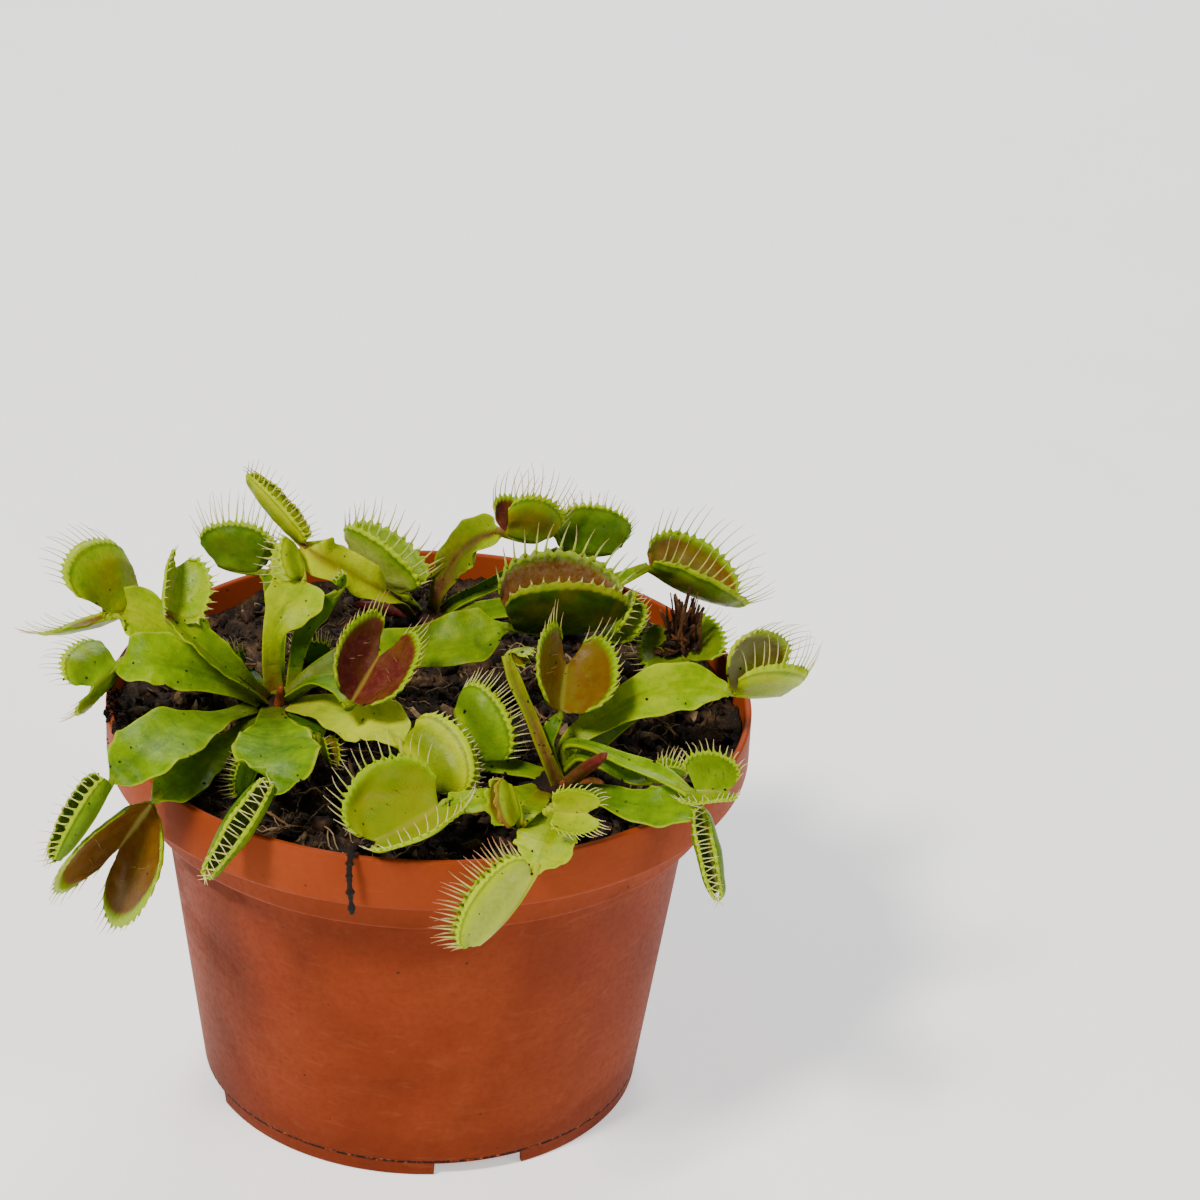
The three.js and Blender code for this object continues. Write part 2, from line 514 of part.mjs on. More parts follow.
function ball(centre, radius) {
  const geometry = new THREE.SphereGeometry(radius, domeSides, 6);
  geometry.rotateX(Math.PI / 2);
  geometry.translate(...centre);
  return solidOf(geometry);
}

// A crown: a low dome in the soil, with the base of every leaf of the plant
function makeCrown(plant) {
  const centre = crownCentres[plant];
  let crown = ball(centre, domeRadius);
  for (const leaf of Object.values(leaves[plant])) {
    const end = shareAt(leaf.rows, centre, crownRadius);
    const base = sheet([0, end].map((t) => bladeSection(leaf, t, baseShares)), baseThickness);
    crown = crown.add(base);
  }
  for (const [from, to, radius] of crownStubs[plant]) {
    crown = crown.add(rod([from, to], radius, stubSides, 1));
  }
  return crown;
}

// A thin round piece along a smooth line
function rod(points, radius, sides, steps) {
  const section = new THREE.Shape(Array.from({ length: sides }, (_, i) => {
    const a = (2 * Math.PI * i) / sides;
    return new THREE.Vector2(radius * Math.cos(a), radius * Math.sin(a));
  }));
  const extrudePath = new THREE.CatmullRomCurve3(points.map(vector));
  return solidOf(new THREE.ExtrudeGeometry(section, { extrudePath, steps }));
}

// A turned shape: radius and height pairs, from the axis back to the axis
function turned(profile, sides) {
  const points = profile.map(([r, z]) => new THREE.Vector2(r, z));
  const geometry = new THREE.LatheGeometry(points, sides);
  geometry.rotateX(Math.PI / 2);
  return solidOf(geometry);
}

// Pot: one thin wall all the way, stepping out under the ledge and under the rim
const rimBottom = potHeight - rimDepth;
const ledgeBottom = rimBottom - ledgeDepth;
const floorTop = footHeight + wall;
function makePot() {
  let pot = turned([
    [0, 0], [padRadius, 0], [padRadius + padSlope, footHeight], [bodyBaseRadius - wall, footHeight],
    [bodyBaseRadius - wall, 0], [bodyBaseRadius - baseInset, 0], [bodyBaseRadius, baseEdge],
    [bodyTopRadius, ledgeBottom], [ledgeRadius - ledgeTaper, ledgeBottom],
    [ledgeRadius, rimBottom], [rimRadius - bandDraft, rimBottom],
    [rimRadius, potHeight - rimEdge], [rimRadius - rimEdge, potHeight],
    [rimRadius - wall, potHeight], [rimRadius - wall - bandDraft, rimBottom + wall],
    [ledgeRadius - wall, rimBottom + wall], [ledgeRadius - ledgeTaper - wall, ledgeBottom + wall],
    [bodyTopRadius - wall, ledgeBottom + wall], [bodyBaseRadius - wall + baseInset, floorTop],
    [padRadius + padSlope, floorTop], [padRadius, wall], [0, wall],
  ], potSides);
  for (let i = 0; i < notchCount; i++) {
    const notch = new THREE.BoxGeometry(4 * wall, notchWidth, 2 * notchHeight);
    notch.translate(bodyBaseRadius - wall / 2, 0, 0);
    notch.rotateZ(degrees(notchAngle + (360 * i) / notchCount));
    pot = pot.subtract(solidOf(notch));
  }
  for (let i = 0; i < drainCount; i++) {
    const drain = new THREE.CylinderGeometry(drainRadius, drainRadius, 4 * footHeight, drainSides);
    drain.rotateX(Math.PI / 2);
    drain.translate(drainRing, 0, 0);
    drain.rotateZ(degrees((360 * i) / drainCount));
    pot = pot.subtract(solidOf(drain));
  }
  return pot;
}

// Soil: fills the pot to just under the rim, with a lumpy top and a hole for each crown
function makeSoil() {
  const inset = wall + gap;
  const sides = [
    [0, wall + gap], [padRadius - gap, wall + gap], [padRadius + padSlope - gap, floorTop + gap],
    [bodyBaseRadius - inset, floorTop + gap], [bodyTopRadius - inset, ledgeBottom + wall + gap],
    [ledgeRadius - ledgeTaper - inset, ledgeBottom + wall + gap],
    [ledgeRadius - inset, rimBottom + wall + gap],
    [rimRadius - inset - rimClearance, rimBottom + wall + gap],
    [rimRadius - inset - rimClearance, soilTop],
  ];
  const top = soilRings.map((r) => [r, soilTop]).reverse();
  const profile = [...sides, ...top].map(([r, z]) => new THREE.Vector2(r, z));
  const geometry = new THREE.LatheGeometry(profile, soilSides);
  geometry.rotateX(Math.PI / 2);
  const place = geometry.getAttribute('position');
  for (let i = 0; i < place.count; i++) {
    const [x, y, z] = [place.getX(i), place.getY(i), place.getZ(i)];
    if (z < soilTop - gap) continue;
    const lump = Math.sin(x * lumpPitch[0] + 2 * Math.sin(y * lumpPitch[1]))
      * Math.cos(y * lumpPitch[2] - x * lumpPitch[3]);
    place.setZ(i, z + soilRoughness * lump);
  }
  let soil = solidOf(geometry);
  for (const centre of Object.values(crownCentres)) {
    soil = soil.subtract(ball(centre, domeRadius + gap));
  }
  return soil;
}

const plantGroup = new THREE.Group();
plantGroup.add(named('pot', geometryOf(makePot()), '#a34a26', 0.5));
let soil = makeSoil();
for (const plant of Object.keys(leaves)) {
  plantGroup.add(named(`crown_${plant}`, geometryOf(makeCrown(plant)), '#a08058'));
  for (const [name, leaf] of Object.entries(leaves[plant])) {
    const solid = makeLeaf(leaf, crownCentres[plant]);
    plantGroup.add(named(`leaf_${plant}_${name}`, geometryOf(solid), '#8cb022'));
  }
}
const twig = rod(twigPoints, twigRadius, twigSides, twigSteps);
soil = soil.subtract(rod(twigPoints, twigRadius + gap, twigSides, twigSteps));
plantGroup.add(named('soil', geometryOf(soil), '#241a14', 0.95));
plantGroup.add(named('twig', geometryOf(twig), '#3a2c22', 0.9));

export default plantGroup;
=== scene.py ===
# A potted venus flytrap in a 12 cm plastic nursery pot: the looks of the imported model.
# Shapes are worked out in millimetres and put into the meshes in metres.
import math
import bpy
import numpy as np
from mathutils import Matrix


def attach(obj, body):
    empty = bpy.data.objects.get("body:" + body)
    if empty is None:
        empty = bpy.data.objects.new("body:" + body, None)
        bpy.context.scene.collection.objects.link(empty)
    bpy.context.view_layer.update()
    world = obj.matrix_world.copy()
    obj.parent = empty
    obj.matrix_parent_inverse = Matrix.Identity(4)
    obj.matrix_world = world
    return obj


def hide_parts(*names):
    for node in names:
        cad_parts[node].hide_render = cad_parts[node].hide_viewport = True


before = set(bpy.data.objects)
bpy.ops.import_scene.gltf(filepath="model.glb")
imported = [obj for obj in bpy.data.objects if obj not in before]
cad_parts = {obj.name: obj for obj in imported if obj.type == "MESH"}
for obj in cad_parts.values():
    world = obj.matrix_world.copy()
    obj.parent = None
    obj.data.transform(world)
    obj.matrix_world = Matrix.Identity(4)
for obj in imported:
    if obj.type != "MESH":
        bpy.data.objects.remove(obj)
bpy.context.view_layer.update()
print("frame loaded,", len(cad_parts), "nodes")
rng = np.random.default_rng(41)
up = np.array([0.0, 0.0, 1.0])
mm = 0.001  # in metres


def unit(v):
    # a vector, or an array of them, divided by its length
    v = np.asarray(v, float)
    return v / np.maximum(np.linalg.norm(v, axis=-1, keepdims=True), 1e-9)


def stacked(*parts):
    # arrays and numbers put side by side as the last axis of one array
    return np.stack(np.broadcast_arrays(*parts), -1)


def smooth(low, high, x):
    # 0 below low, 1 above high, and an S curve between them
    f = np.clip((x - low) / (high - low), 0, 1)
    return f * f * (3 - 2 * f)


def onRows(rows, t):
    # a smooth curve through the rows: t goes from 0 at the first row to 1 at the last, and each end
    # goes on straight past the outer rows
    rows = np.asarray(rows, float)
    whole = np.vstack([2 * rows[0] - rows[1], rows, 2 * rows[-1] - rows[-2]])
    last = len(rows) - 1
    t = np.asarray(t, float)
    k = np.clip(np.floor(t * last).astype(int), 0, last - 1)
    f = (t * last - k)[..., None]
    a, b, c, d = whole[k], whole[k + 1], whole[k + 2], whole[k + 3]
    first, second = (c - a) / 2, (d - b) / 2
    return (b + f * first + f ** 2 * (3 * (c - b) - 2 * first - second)
            + f ** 3 * (2 * (b - c) + first + second))


def lumps(points, size, seed, waves=24):
    # soft noise around 0, about -1 to 1: the sum of plane waves in random directions, each bent by
    # another, with wavelengths from size down to a third of it
    r = np.random.default_rng(seed)
    points = np.asarray(points, float)
    way = unit(r.normal(size=(waves, points.shape[-1])))
    rate = 2 * np.pi / (size * r.uniform(0.33, 1, waves))
    turn = r.uniform(0, 2 * np.pi, waves)
    x = points @ (way * rate[:, None]).T + turn
    return np.sin(x + 0.9 * np.sin(0.6 * x[..., ::-1])).sum(-1) / math.sqrt(waves)


def quadGrid(rows, columns, closed=False):
    # the four corners of every cell in a grid of points numbered row by row; closed joins the last
    # column to the first
    i = columns * np.arange(rows - 1)[:, None]
    j = np.arange(columns if closed else columns - 1)
    k = (j + 1) % columns
    return stacked(i + j, i + columns + j, i + columns + k, i + k).reshape(-1, 4)


def capFans(rings, sides, hub):
    # the triangles that close a stack of rings at both ends, to the points hub and hub + 1
    first = np.arange(sides)
    later = (first + 1) % sides
    end = (rings - 1) * sides
    return np.concatenate([stacked(first, later, hub), stacked(later + end, first + end, hub + 1)])


def turned(profile, sides):
    # rings of points (r cos a, r sin a, z) for a profile of (r, z)
    a = 2 * np.pi * np.arange(sides) / sides
    r, z = profile[:, :1], profile[:, 1:]
    return stacked(r * np.cos(a), r * np.sin(a), z)


def sheetBit(middle, half, slots, **traits):
    # A thin closed sheet: every point of the middle surface goes half a thickness out and in along
    # the surface's normal, and a strip of quads closes the border. slots are the material numbers of
    # the outer side, the inner side and the border; traits are attributes on the middle surface.
    rows, columns = middle.shape[:2]
    normal = unit(np.cross(np.gradient(middle, axis=0), np.gradient(middle, axis=1)))
    thick = normal * half[..., None]
    count = rows * columns
    top = quadGrid(rows, columns)
    border = np.concatenate([
        np.arange(columns), columns * np.arange(1, rows) + columns - 1,
        columns * (rows - 1) + np.arange(columns - 2, -1, -1),
        columns * np.arange(rows - 2, 0, -1)])
    after = np.roll(border, -1)
    strip = stacked(border, after, after + count, border + count)
    return {"points": np.concatenate([(middle + thick).reshape(-1, 3), (middle - thick).reshape(-1, 3)]),
            "faces": [(top, slots[0]), (top[:, ::-1] + count, slots[1]), (strip, slots[2])],
            **{key: np.tile(values.reshape(-1, 3), (2, 1)) for key, values in traits.items()}}


def tubeBit(paths, radii, sides, guide, slot, **traits):
    # Rods: rings of points around each path, square to it, and a point at either end. paths and the
    # traits are (rods, steps, 3); radii is (rods, steps), with a third axis for width and height.
    rods, steps = paths.shape[:2]
    along = unit(np.gradient(paths, axis=1))
    side = unit(np.cross(along, guide))
    rise = np.cross(side, along)
    a = 2 * np.pi * np.arange(sides)[:, None] / sides
    radii = radii if radii.ndim == 3 else stacked(radii, radii)
    wide, high = radii[:, :, None, :1], radii[:, :, None, 1:]
    ring = paths[:, :, None] + wide * np.cos(a) * side[:, :, None] + high * np.sin(a) * rise[:, :, None]
    number = np.arange(rods)[:, None, None]
    each = steps * sides
    faces = (quadGrid(steps, sides, True) + number * each).reshape(-1, 4)
    caps = (capFans(steps, sides, 0) + number * [each, each, 2] + [0, 0, rods * each]).reshape(-1, 3)
    spread = {"points": (ring, paths)}
    spread.update({key: (np.repeat(values, sides, 1), values) for key, values in traits.items()})
    bit = {key: np.concatenate([whole.reshape(-1, 3), line[:, [0, -1]].reshape(-1, 3)])
           for key, (whole, line) in spread.items()}
    return {**bit, "faces": [(faces, slot), (caps, slot)]}


def makePiece(name, bits, materials, traits=None):
    # puts the bits into one mesh object, smooth shaded, with its point attributes
    counts = np.cumsum([0] + [len(b["points"]) for b in bits])
    points = np.concatenate([b["points"] for b in bits]) * mm
    groups = [(f + counts[k], s) for k, b in enumerate(bits) for f, s in b["faces"]]
    corners = np.concatenate([f.ravel() for f, s in groups]).astype(np.int32)
    sizes = np.concatenate([np.full(len(f), f.shape[1]) for f, s in groups])
    slots = np.concatenate([np.full(len(f), s) for f, s in groups]).astype(np.int32)
    mesh = bpy.data.meshes.new(name)
    mesh.vertices.add(len(points))
    mesh.vertices.foreach_set("co", points.astype(np.float32).ravel())
    mesh.loops.add(len(corners))
    mesh.loops.foreach_set("vertex_index", corners)
    mesh.polygons.add(len(sizes))
    mesh.polygons.foreach_set("loop_start", (np.cumsum(sizes) - sizes).astype(np.int32))
    mesh.polygons.foreach_set("material_index", slots)
    mesh.update(calc_edges=True)
    mesh.validate()
    for key, usual in {"place": np.zeros(3), **(traits or {})}.items():
        values = [np.broadcast_to(b.get(key, usual), (len(b["points"]), 3)) for b in bits]
        layer = mesh.attributes.new(key, "FLOAT_VECTOR", "POINT")
        layer.data.foreach_set("vector", np.concatenate(values).astype(np.float32).ravel())
    mesh.shade_smooth()
    for material in materials:
        mesh.materials.append(material)
    piece = bpy.data.objects.new(name, mesh)
    bpy.context.scene.collection.objects.link(piece)
    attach(piece, "root")
    return piece


def colour(code):
    # "#rrggbb" as linear red, green, blue and 1
    part = [int(code[k:k + 2], 16) / 255 for k in (1, 3, 5)]
    return tuple(c / 12.92 if c <= 0.04045 else ((c + 0.055) / 1.055) ** 2.4 for c in part) + (1.0,)


# what materials are made of: for each name the kind of node, the inputs that its values go to in
# turn, its output and its settings
nodeKinds = {
    "plus": ("Math", [0, 1], 0, {"operation": "ADD"}),
    "minus": ("Math", [0, 1], 0, {"operation": "SUBTRACT"}),
    "times": ("Math", [0, 1], 0, {"operation": "MULTIPLY"}),
    "power": ("Math", [0, 1], 0, {"operation": "POWER"}),
    "below": ("Math", [0, 1], 0, {"operation": "LESS_THAN"}),
    "amount": ("Math", [0], 0, {"operation": "ABSOLUTE"}),
    "sine": ("Math", [0], 0, {"operation": "SINE"}),
    "between": ("MapRange", [0, 1, 2, 3, 4], 0, {"interpolation_type": "SMOOTHSTEP"}),
    "over": ("Mix", [6, 0, 7], 2, {"data_type": "RGBA", "clamp_factor": True}),
    "ramp": ("ValToRGB", [0], 0, {}),
    "grain": ("TexNoise", ["Vector", "Scale", "Detail", "Roughness", "Distortion"], 0, {}),
    "cells": ("TexVoronoi", ["Vector", "Scale"], "Distance", {}),
    "stretched": ("Mapping", [0, 3, 2], 0, {}),
    "split": ("SeparateXYZ", [0], slice(3), {}),
    "joined": ("CombineXYZ", [0, 1, 2], 0, {}),
    "place": ("TexCoord", [], "Object", {}),
    "attribute": ("Attribute", [], "Vector", {}),
    "bump": ("Bump", [], 0, {}),
    "shader": ("BsdfPrincipled", [], 0, {}),
    "surface": ("OutputMaterial", [0], slice(0), {}),
}


def node(name, *values, named=None, tree=None, stops=(), **settings):
    # One node, and what comes out of it. values go to the inputs that nodeKinds lists and named to
    # those that it names itself, as numbers or as sockets that feed them; stops are the places and
    # colours of a ramp. Where no tree is given, it goes into the one that those sockets are in.
    kind, keys, output, usual = nodeKinds[name]
    inputs = {**dict(zip(keys, values)), **(named or {})}
    feeds = {key: value for key, value in inputs.items() if isinstance(value, bpy.types.NodeSocket)}
    tree = tree or next(iter(feeds.values())).id_data
    made = tree.nodes.new("ShaderNode" + kind)
    for key, value in {**usual, **settings}.items():
        setattr(made, key, value)
    for key, value in inputs.items():
        if key in feeds:
            tree.links.new(value, made.inputs[key])
        else:
            made.inputs[key].default_value = value
    if stops:
        points = made.color_ramp.elements
        while len(points) < len(stops):
            points.new(0.5)
        for point, (place, code) in zip(points, stops):
            point.position = place
            point.color = colour(code)
    return made.outputs[output]


def layered(base, *layers):
    # every layer in turn goes over the base: the share it covers, and its colour as code or socket
    for share, tone in layers:
        base = node("over", base, share, colour(tone) if isinstance(tone, str) else tone)
    return base


def specksIn(at, perMm, where, low, high, size):
    # round specks, perMm cells to the millimetre; as the noise where goes from low to high, they
    # grow from nothing to size, a share of their cell
    cells = node("cells", at, perMm / mm)
    return node("below", cells, node("between", where, low, high, 0, size))


def newMaterial(name):
    # an empty material, and the object's own coordinates in it
    material = bpy.data.materials.new(name)
    material.use_nodes = True
    material.node_tree.nodes.clear()
    return material, node("place", tree=material.node_tree)


def attribute(material, name):
    # the three numbers of a point attribute
    return node("split", node("attribute", tree=material.node_tree, attribute_name=name))


def finishMaterial(material, base, bumps, inputs):
    # the shader: base colour, a chain of bumps as (height, depth in mm), and its other inputs
    inputs = {**inputs, "Base Color": base}
    for height, depth in bumps:
        bump = {"Height": height, "Distance": depth * mm, "Strength": 1.0}
        if "Normal" in inputs:
            bump["Normal"] = inputs["Normal"]
        inputs["Normal"] = node("bump", named=bump)
    node("surface", node("shader", named=inputs))
    return material


def barkMaterial(name, dark, middle, light, perMm=0.5):
    # dead plant matter: streaky, dull, with cracks
    material, at = newMaterial(name)
    tone = node("plus", node("grain", at, perMm / mm, 5, 0.65, 0.8),
                node("times", attribute(material, "place")[0], 0.5))
    base = node("ramp", tone, stops=[(0.3, dark), (0.62, middle), (1, light)])
    return finishMaterial(material, base, [(node("grain", at, perMm * 3 / mm, 4, 0.7), 0.25)],
                          {"Specular IOR Level": 0.25, "Roughness": 0.85})


def potPlastic():
    # brick-orange injection-moulded polypropylene: soft sheen, fine grain, water marks and dust
    material, at = newMaterial("brickOrangePolypropylene")
    height = node("times", node("split", at)[2], 1 / mm)
    cloud = node("grain", at, 0.035 / mm, 5, 0.6, 0.4)
    fine = node("grain", at, 0.9 / mm, 4, 0.6)
    marks = node("between", node("grain", node("stretched", at, (0.3, 0.3, 1)), 0.3 / mm, 6, 0.66, 1.2),
                 0.52, 0.72, 0, 0.2)
    # smudges of wet peat, most of them under the ledge
    smudge = node("grain", node("stretched", at, (0.5, 0.5, 1)), 0.07 / mm, 6, 0.6, 0.8)
    upper = node("times", node("between", height, 30, 58, 0.3, 1),
                 node("between", height, 61.5, 65, 1, 0.3))
    stain = node("times", node("between", smudge, 0.5, 0.68, 0, 0.5), upper)
    # dirt that collects in the groove over the foot ring
    groove = node("times", node("between", height, 2.9, 3.1), node("between", height, 3.7, 3.4))
    flecks = node("grain", at, 0.9 / mm, 3, 0.7)
    dust = specksIn(at, 0.33, node("grain", at, 0.13 / mm, 2, 0.5), 0.5, 0.75, 0.16)
    base = layered(
        node("ramp", cloud, stops=[(0.3, "#6d290d"), (0.5, "#7a3012"), (0.72, "#873a19")]),
        (node("between", fine, 0.35, 0.75, 0, 0.22), "#5c2009"),
        (node("between", height, 0, 12, 0.3, 0), "#4f1c0a"),
        (marks, "#93502e"),
        (stain, "#47200f"),
        # painted light: from 55 mm up the rim band and ledge are lighter, as if lit from above
        (node("between", height, 55, 70, 0, 0.42), "#a0451d"),
        (node("times", groove, node("between", flecks, 0.42, 0.55)), "#241208"),
        (node("times", groove, node("between", flecks, 0.42, 0.36, 0, 0.6)), "#b5673a"),
        (node("times", dust, 0.75), "#3a2114"))
    bumps = [(cloud, 0.12), (node("grain", at, 1.6 / mm, 3, 0.6), 0.03), (marks, 0.06), (groove, -0.25)]
    return finishMaterial(material, base, bumps,
                          {"Roughness": node("between", node("plus", stain, fine), 0.3, 1, 0.5, 0.7),
                           "Specular IOR Level": 0.06, "Subsurface Weight": 0.04,
                           "Subsurface Radius": (1, 0.32, 0.1), "Subsurface Scale": 0.0022})


pot = {
    "height": 79, "rim": 60, "rimDepth": 10.2, "bandDraft": 0.1, "ledge": 55.5, "ledgeDepth": 7.3,
    "ledgeTaper": 1.1, "bodyTop": 49.9, "bodyBase": 41.5, "baseEdge": 1.2, "wall": 1.3, "footHeight": 3.2,
    "padRadius": 12, "padSlope": 3, "notches": 4, "notchWidth": 17, "notchHeight": 2.8, "notchAngle": -74,
    "drains": 6, "drainRadius": 3.5, "drainRing": 29, "drainSides": 32, "drainFrom": 1, "drainTo": 7,
    "sides": 288, "round": 0.95, "hubRadius": 0.02, "sharpFrom": 40, "waveFrom": 20, "waveTo": 60,
}


def roundCorners(profile, radius, steps=5):
    # each corner of a closed profile becomes a curve that starts and ends at radius from it, or at
    # 0.42 of the shorter side where that is less
    before, after = np.roll(profile, 1, 0) - profile, np.roll(profile, -1, 0) - profile
    near = np.minimum(np.linalg.norm(before, axis=1), np.linalg.norm(after, axis=1))
    cut = np.minimum(radius, 0.42 * near)[:, None]
    a, b = profile + unit(before) * cut, profile + unit(after) * cut
    f = np.linspace(0, 1, steps)[:, None, None]
    curves = (1 - f) ** 2 * a + 2 * f * (1 - f) * profile + f ** 2 * b
    return np.swapaxes(curves, 0, 1).reshape(-1, 2)


def potBit(p):
    # The profile turned once round the axis. It starts and ends at a hub in the middle of the floor;
    # the two corners that only lead there are cut off after the rounding.
    rim, high, ledge, w = p["rim"], p["height"], p["ledge"], p["wall"]
    foot, base, top, pad = p["footHeight"], p["bodyBase"], p["bodyTop"], p["padRadius"]
    rimBottom = high - p["rimDepth"]
    ledgeBottom = rimBottom - p["ledgeDepth"]
    ledgeFoot = ledge - p["ledgeTaper"]
    rise = (top - base) / (ledgeBottom - p["baseEdge"])
    profile = np.array([
        [-20, 0], [pad, 0], [pad + p["padSlope"], foot], [base - w, foot], [base - w, 0], [base, 0],
        [base + p["baseEdge"] * rise, p["baseEdge"]], [top, ledgeBottom], [ledgeFoot, ledgeBottom],
        [ledge, rimBottom], [rim - p["bandDraft"], rimBottom], [rim, high], [rim - w, high],
        [rim - w - p["bandDraft"], rimBottom + w], [ledge - w, rimBottom + w],
        [ledgeFoot - w, ledgeBottom + w], [top - w, ledgeBottom + w], [base - 1, foot + w],
        [pad + p["padSlope"], foot + w], [pad, w], [-20, w]], float)
    profile = roundCorners(profile, p["round"])[5:-5]
    profile = np.vstack([[p["hubRadius"], 0], profile, [p["hubRadius"], w]])
    points = turned(profile, p["sides"])
    # the mould isn't perfectly true: a slow waviness of a tenth of a millimetre in the wall
    a = 2 * np.pi * np.arange(p["sides"]) / p["sides"]
    wave = 0.1 * np.sin(2 * a + 0.4) + 0.05 * np.sin(5 * a)
    share = smooth(p["waveFrom"], p["waveTo"], profile[:, None, 1:])
    points[..., :2] *= 1 + wave[None, :, None] / rim * share
    faces = quadGrid(len(profile), p["sides"], True)[:, ::-1]
    caps = capFans(len(profile), p["sides"], len(profile) * p["sides"])[:, ::-1]
    hubs = np.array([[0, 0, 0], [0, 0, w]], float)
    return {"points": np.concatenate([points.reshape(-1, 3), hubs]), "faces": [(faces, 0), (caps, 0)]}


def cutBits(p):
    # what the mould leaves out: a box at each foot notch and a cylinder at each drain hole
    turns = np.radians(p["notchAngle"] + 360 / p["notches"] * np.arange(p["notches"]))
    out = stacked(np.cos(turns), np.sin(turns), 0)[:, None]
    square = [[-1, -1], [1, -1], [1, 1], [-1, 1]]
    corner = np.array([[x, y, z] for z in (0, 1) for x, y in square], float)
    boxes = (out * (p["bodyBase"] - p["wall"] / 2 + corner[:, :1] * 2 * p["wall"])
             + np.cross(up, out) * corner[:, 1:2] * p["notchWidth"] / 2
             + up * (corner[:, 2:] * (p["notchHeight"] + 1) - 1))
    cube = np.array([[0, 3, 2, 1], [4, 5, 6, 7], [0, 1, 5, 4], [1, 2, 6, 5], [2, 3, 7, 6], [3, 0, 4, 7]])
    boxFaces = (cube + 8 * np.arange(p["notches"])[:, None, None]).reshape(-1, 4)
    sides, drains = p["drainSides"], p["drains"]
    turns = 2 * np.pi * (np.arange(drains) + 0.5) / drains
    centre = p["drainRing"] * stacked(np.cos(turns), np.sin(turns), 0)
    tube = turned(np.array([[p["drainRadius"], p[key]] for key in ("drainFrom", "drainTo")], float), sides)
    rings = centre[:, None, None] + tube
    each = 2 * sides * np.arange(drains)[:, None]
    walls = (quadGrid(2, sides, True)[:, ::-1] + each[..., None]).reshape(-1, 4)
    lids = np.arange(sides - 1, -1, -1) + each
    tops = np.arange(sides) + sides + each
    return [{"points": boxes.reshape(-1, 3), "faces": [(boxFaces, 0)]},
            {"points": rings.reshape(-1, 3), "faces": [(walls, 0), (lids, 0), (tops, 0)]}]


plastic = potPlastic()
potPiece = makePiece("pot_shell", [potBit(pot)], [plastic])
cutter = makePiece("pot_cutter", cutBits(pot), [plastic])
cut = potPiece.modifiers.new("cut", "BOOLEAN")
cut.object, cut.operation, cut.solver = cutter, "DIFFERENCE", "EXACT"
done = bpy.data.meshes.new_from_object(potPiece.evaluated_get(bpy.context.evaluated_depsgraph_get()))
potPiece.modifiers.clear()
potPiece.data = done
bpy.data.objects.remove(cutter)
done.shade_smooth()
done.set_sharp_from_angle(angle=math.radians(pot["sharpFrom"]))
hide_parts("pot")
print("pot done")

# lumps has height, size, seed and number of waves; lengths, radii and sizes are from least to most
soil = {
    "top": 74.5, "sunk": 0.3, "radius": 58.4, "bottom": 5.0, "rings": 128, "sides": 340, "rough": 1.0,
    "side": [[58.4, 71], [53.8, 70.6], [52.6, 63], [48.2, 62.6], [40.2, 5.0], [0.05, 5.0]],
    "lumps": ((0.6, 7, 3, 24), (0.42, 2.8, 4, 36), (0.2, 1.2, 5, 40)), "seed": 11,
    "crumbs": 2600, "chips": 240, "chipSizes": ((1.1, 0.6, 0.18), (3.2, 1.4, 0.5)),
    "fibres": 560, "fibreLengths": (3, 13), "fibreRadii": (0.06, 0.16),
    "roots": 60, "rootLengths": (6, 18), "rootRadii": (0.14, 0.3),
}


def peatSoil():
    # damp fibrous peat: brown-black with paler fibres and a little bark dust
    material, at = newMaterial("fibrousPeat")
    clump = node("grain", at, 0.16 / mm, 6, 0.65, 0.5)
    fine = node("grain", at, 1.3 / mm, 5, 0.7)
    thread = node("grain", node("stretched", at, (1, 0.16, 1), (0.3, 0.2, 0.7)), 1.5 / mm, 3, 0.6, 2.0)
    base = layered(
        node("ramp", clump,
             stops=[(0.32, "#0f0905"), (0.5, "#281a0e"), (0.64, "#523a22"), (0.8, "#96744c")]),
        (node("between", fine, 0.56, 0.78, 0, 0.7), "#77604a"),
        (node("between", thread, 0.63, 0.75, 0, 0.55), "#94795a"))
    return finishMaterial(material, base,
                          [(clump, 1.4), (node("grain", at, 0.7 / mm, 5, 0.7, 0.6), 0.7), (fine, 0.3)],
                          {"Specular IOR Level": 0.3,
                           "Roughness": node("between", fine, 0.3, 0.7, 0.7, 0.95)})


def soilHeight(x, y):
    # the top of the peat: broad lumps as in the solid, and finer ones of a few millimetres on them
    broad = soil["rough"] * np.sin(0.31 * x + 2 * np.sin(0.17 * y)) * np.cos(0.27 * y - 0.11 * x)
    fine = sum(high * lumps(stacked(x, y), *rest) for high, *rest in soil["lumps"])
    return soil["top"] + broad + fine * 0.8 - soil["sunk"]


def soilBit(p):
    # a disc of rings out to the pot's wall, each point at the peat's height, then down the wall
    f = np.linspace(0, 1, p["rings"])[1:]
    top = turned(stacked(p["radius"] * f, 0), p["sides"])
    top[..., 2] = soilHeight(top[..., 0], top[..., 1])
    points = np.concatenate([top, turned(np.array(p["side"]), p["sides"])])
    faces = quadGrid(len(points), p["sides"], True)
    caps = capFans(len(points), p["sides"], len(points) * p["sides"])
    hubs = np.array([[0, 0, float(soilHeight(np.zeros(1), np.zeros(1))[0])], [0, 0, p["bottom"]]])
    return {"points": np.concatenate([points.reshape(-1, 3), hubs]), "faces": [(faces, 0), (caps, 0)]}


def ballShape(rings=4, sides=6):
    # a small closed ball of unit radius as points and faces
    z = np.cos(np.pi * (np.arange(rings) + 1) / (rings + 1))
    points = turned(stacked(np.sqrt(1 - z ** 2), z), sides).reshape(-1, 3)
    points = np.concatenate([points, [[0, 0, 1], [0, 0, -1]]])
    return points, quadGrid(rings, sides, True), capFans(rings, sides, rings * sides)


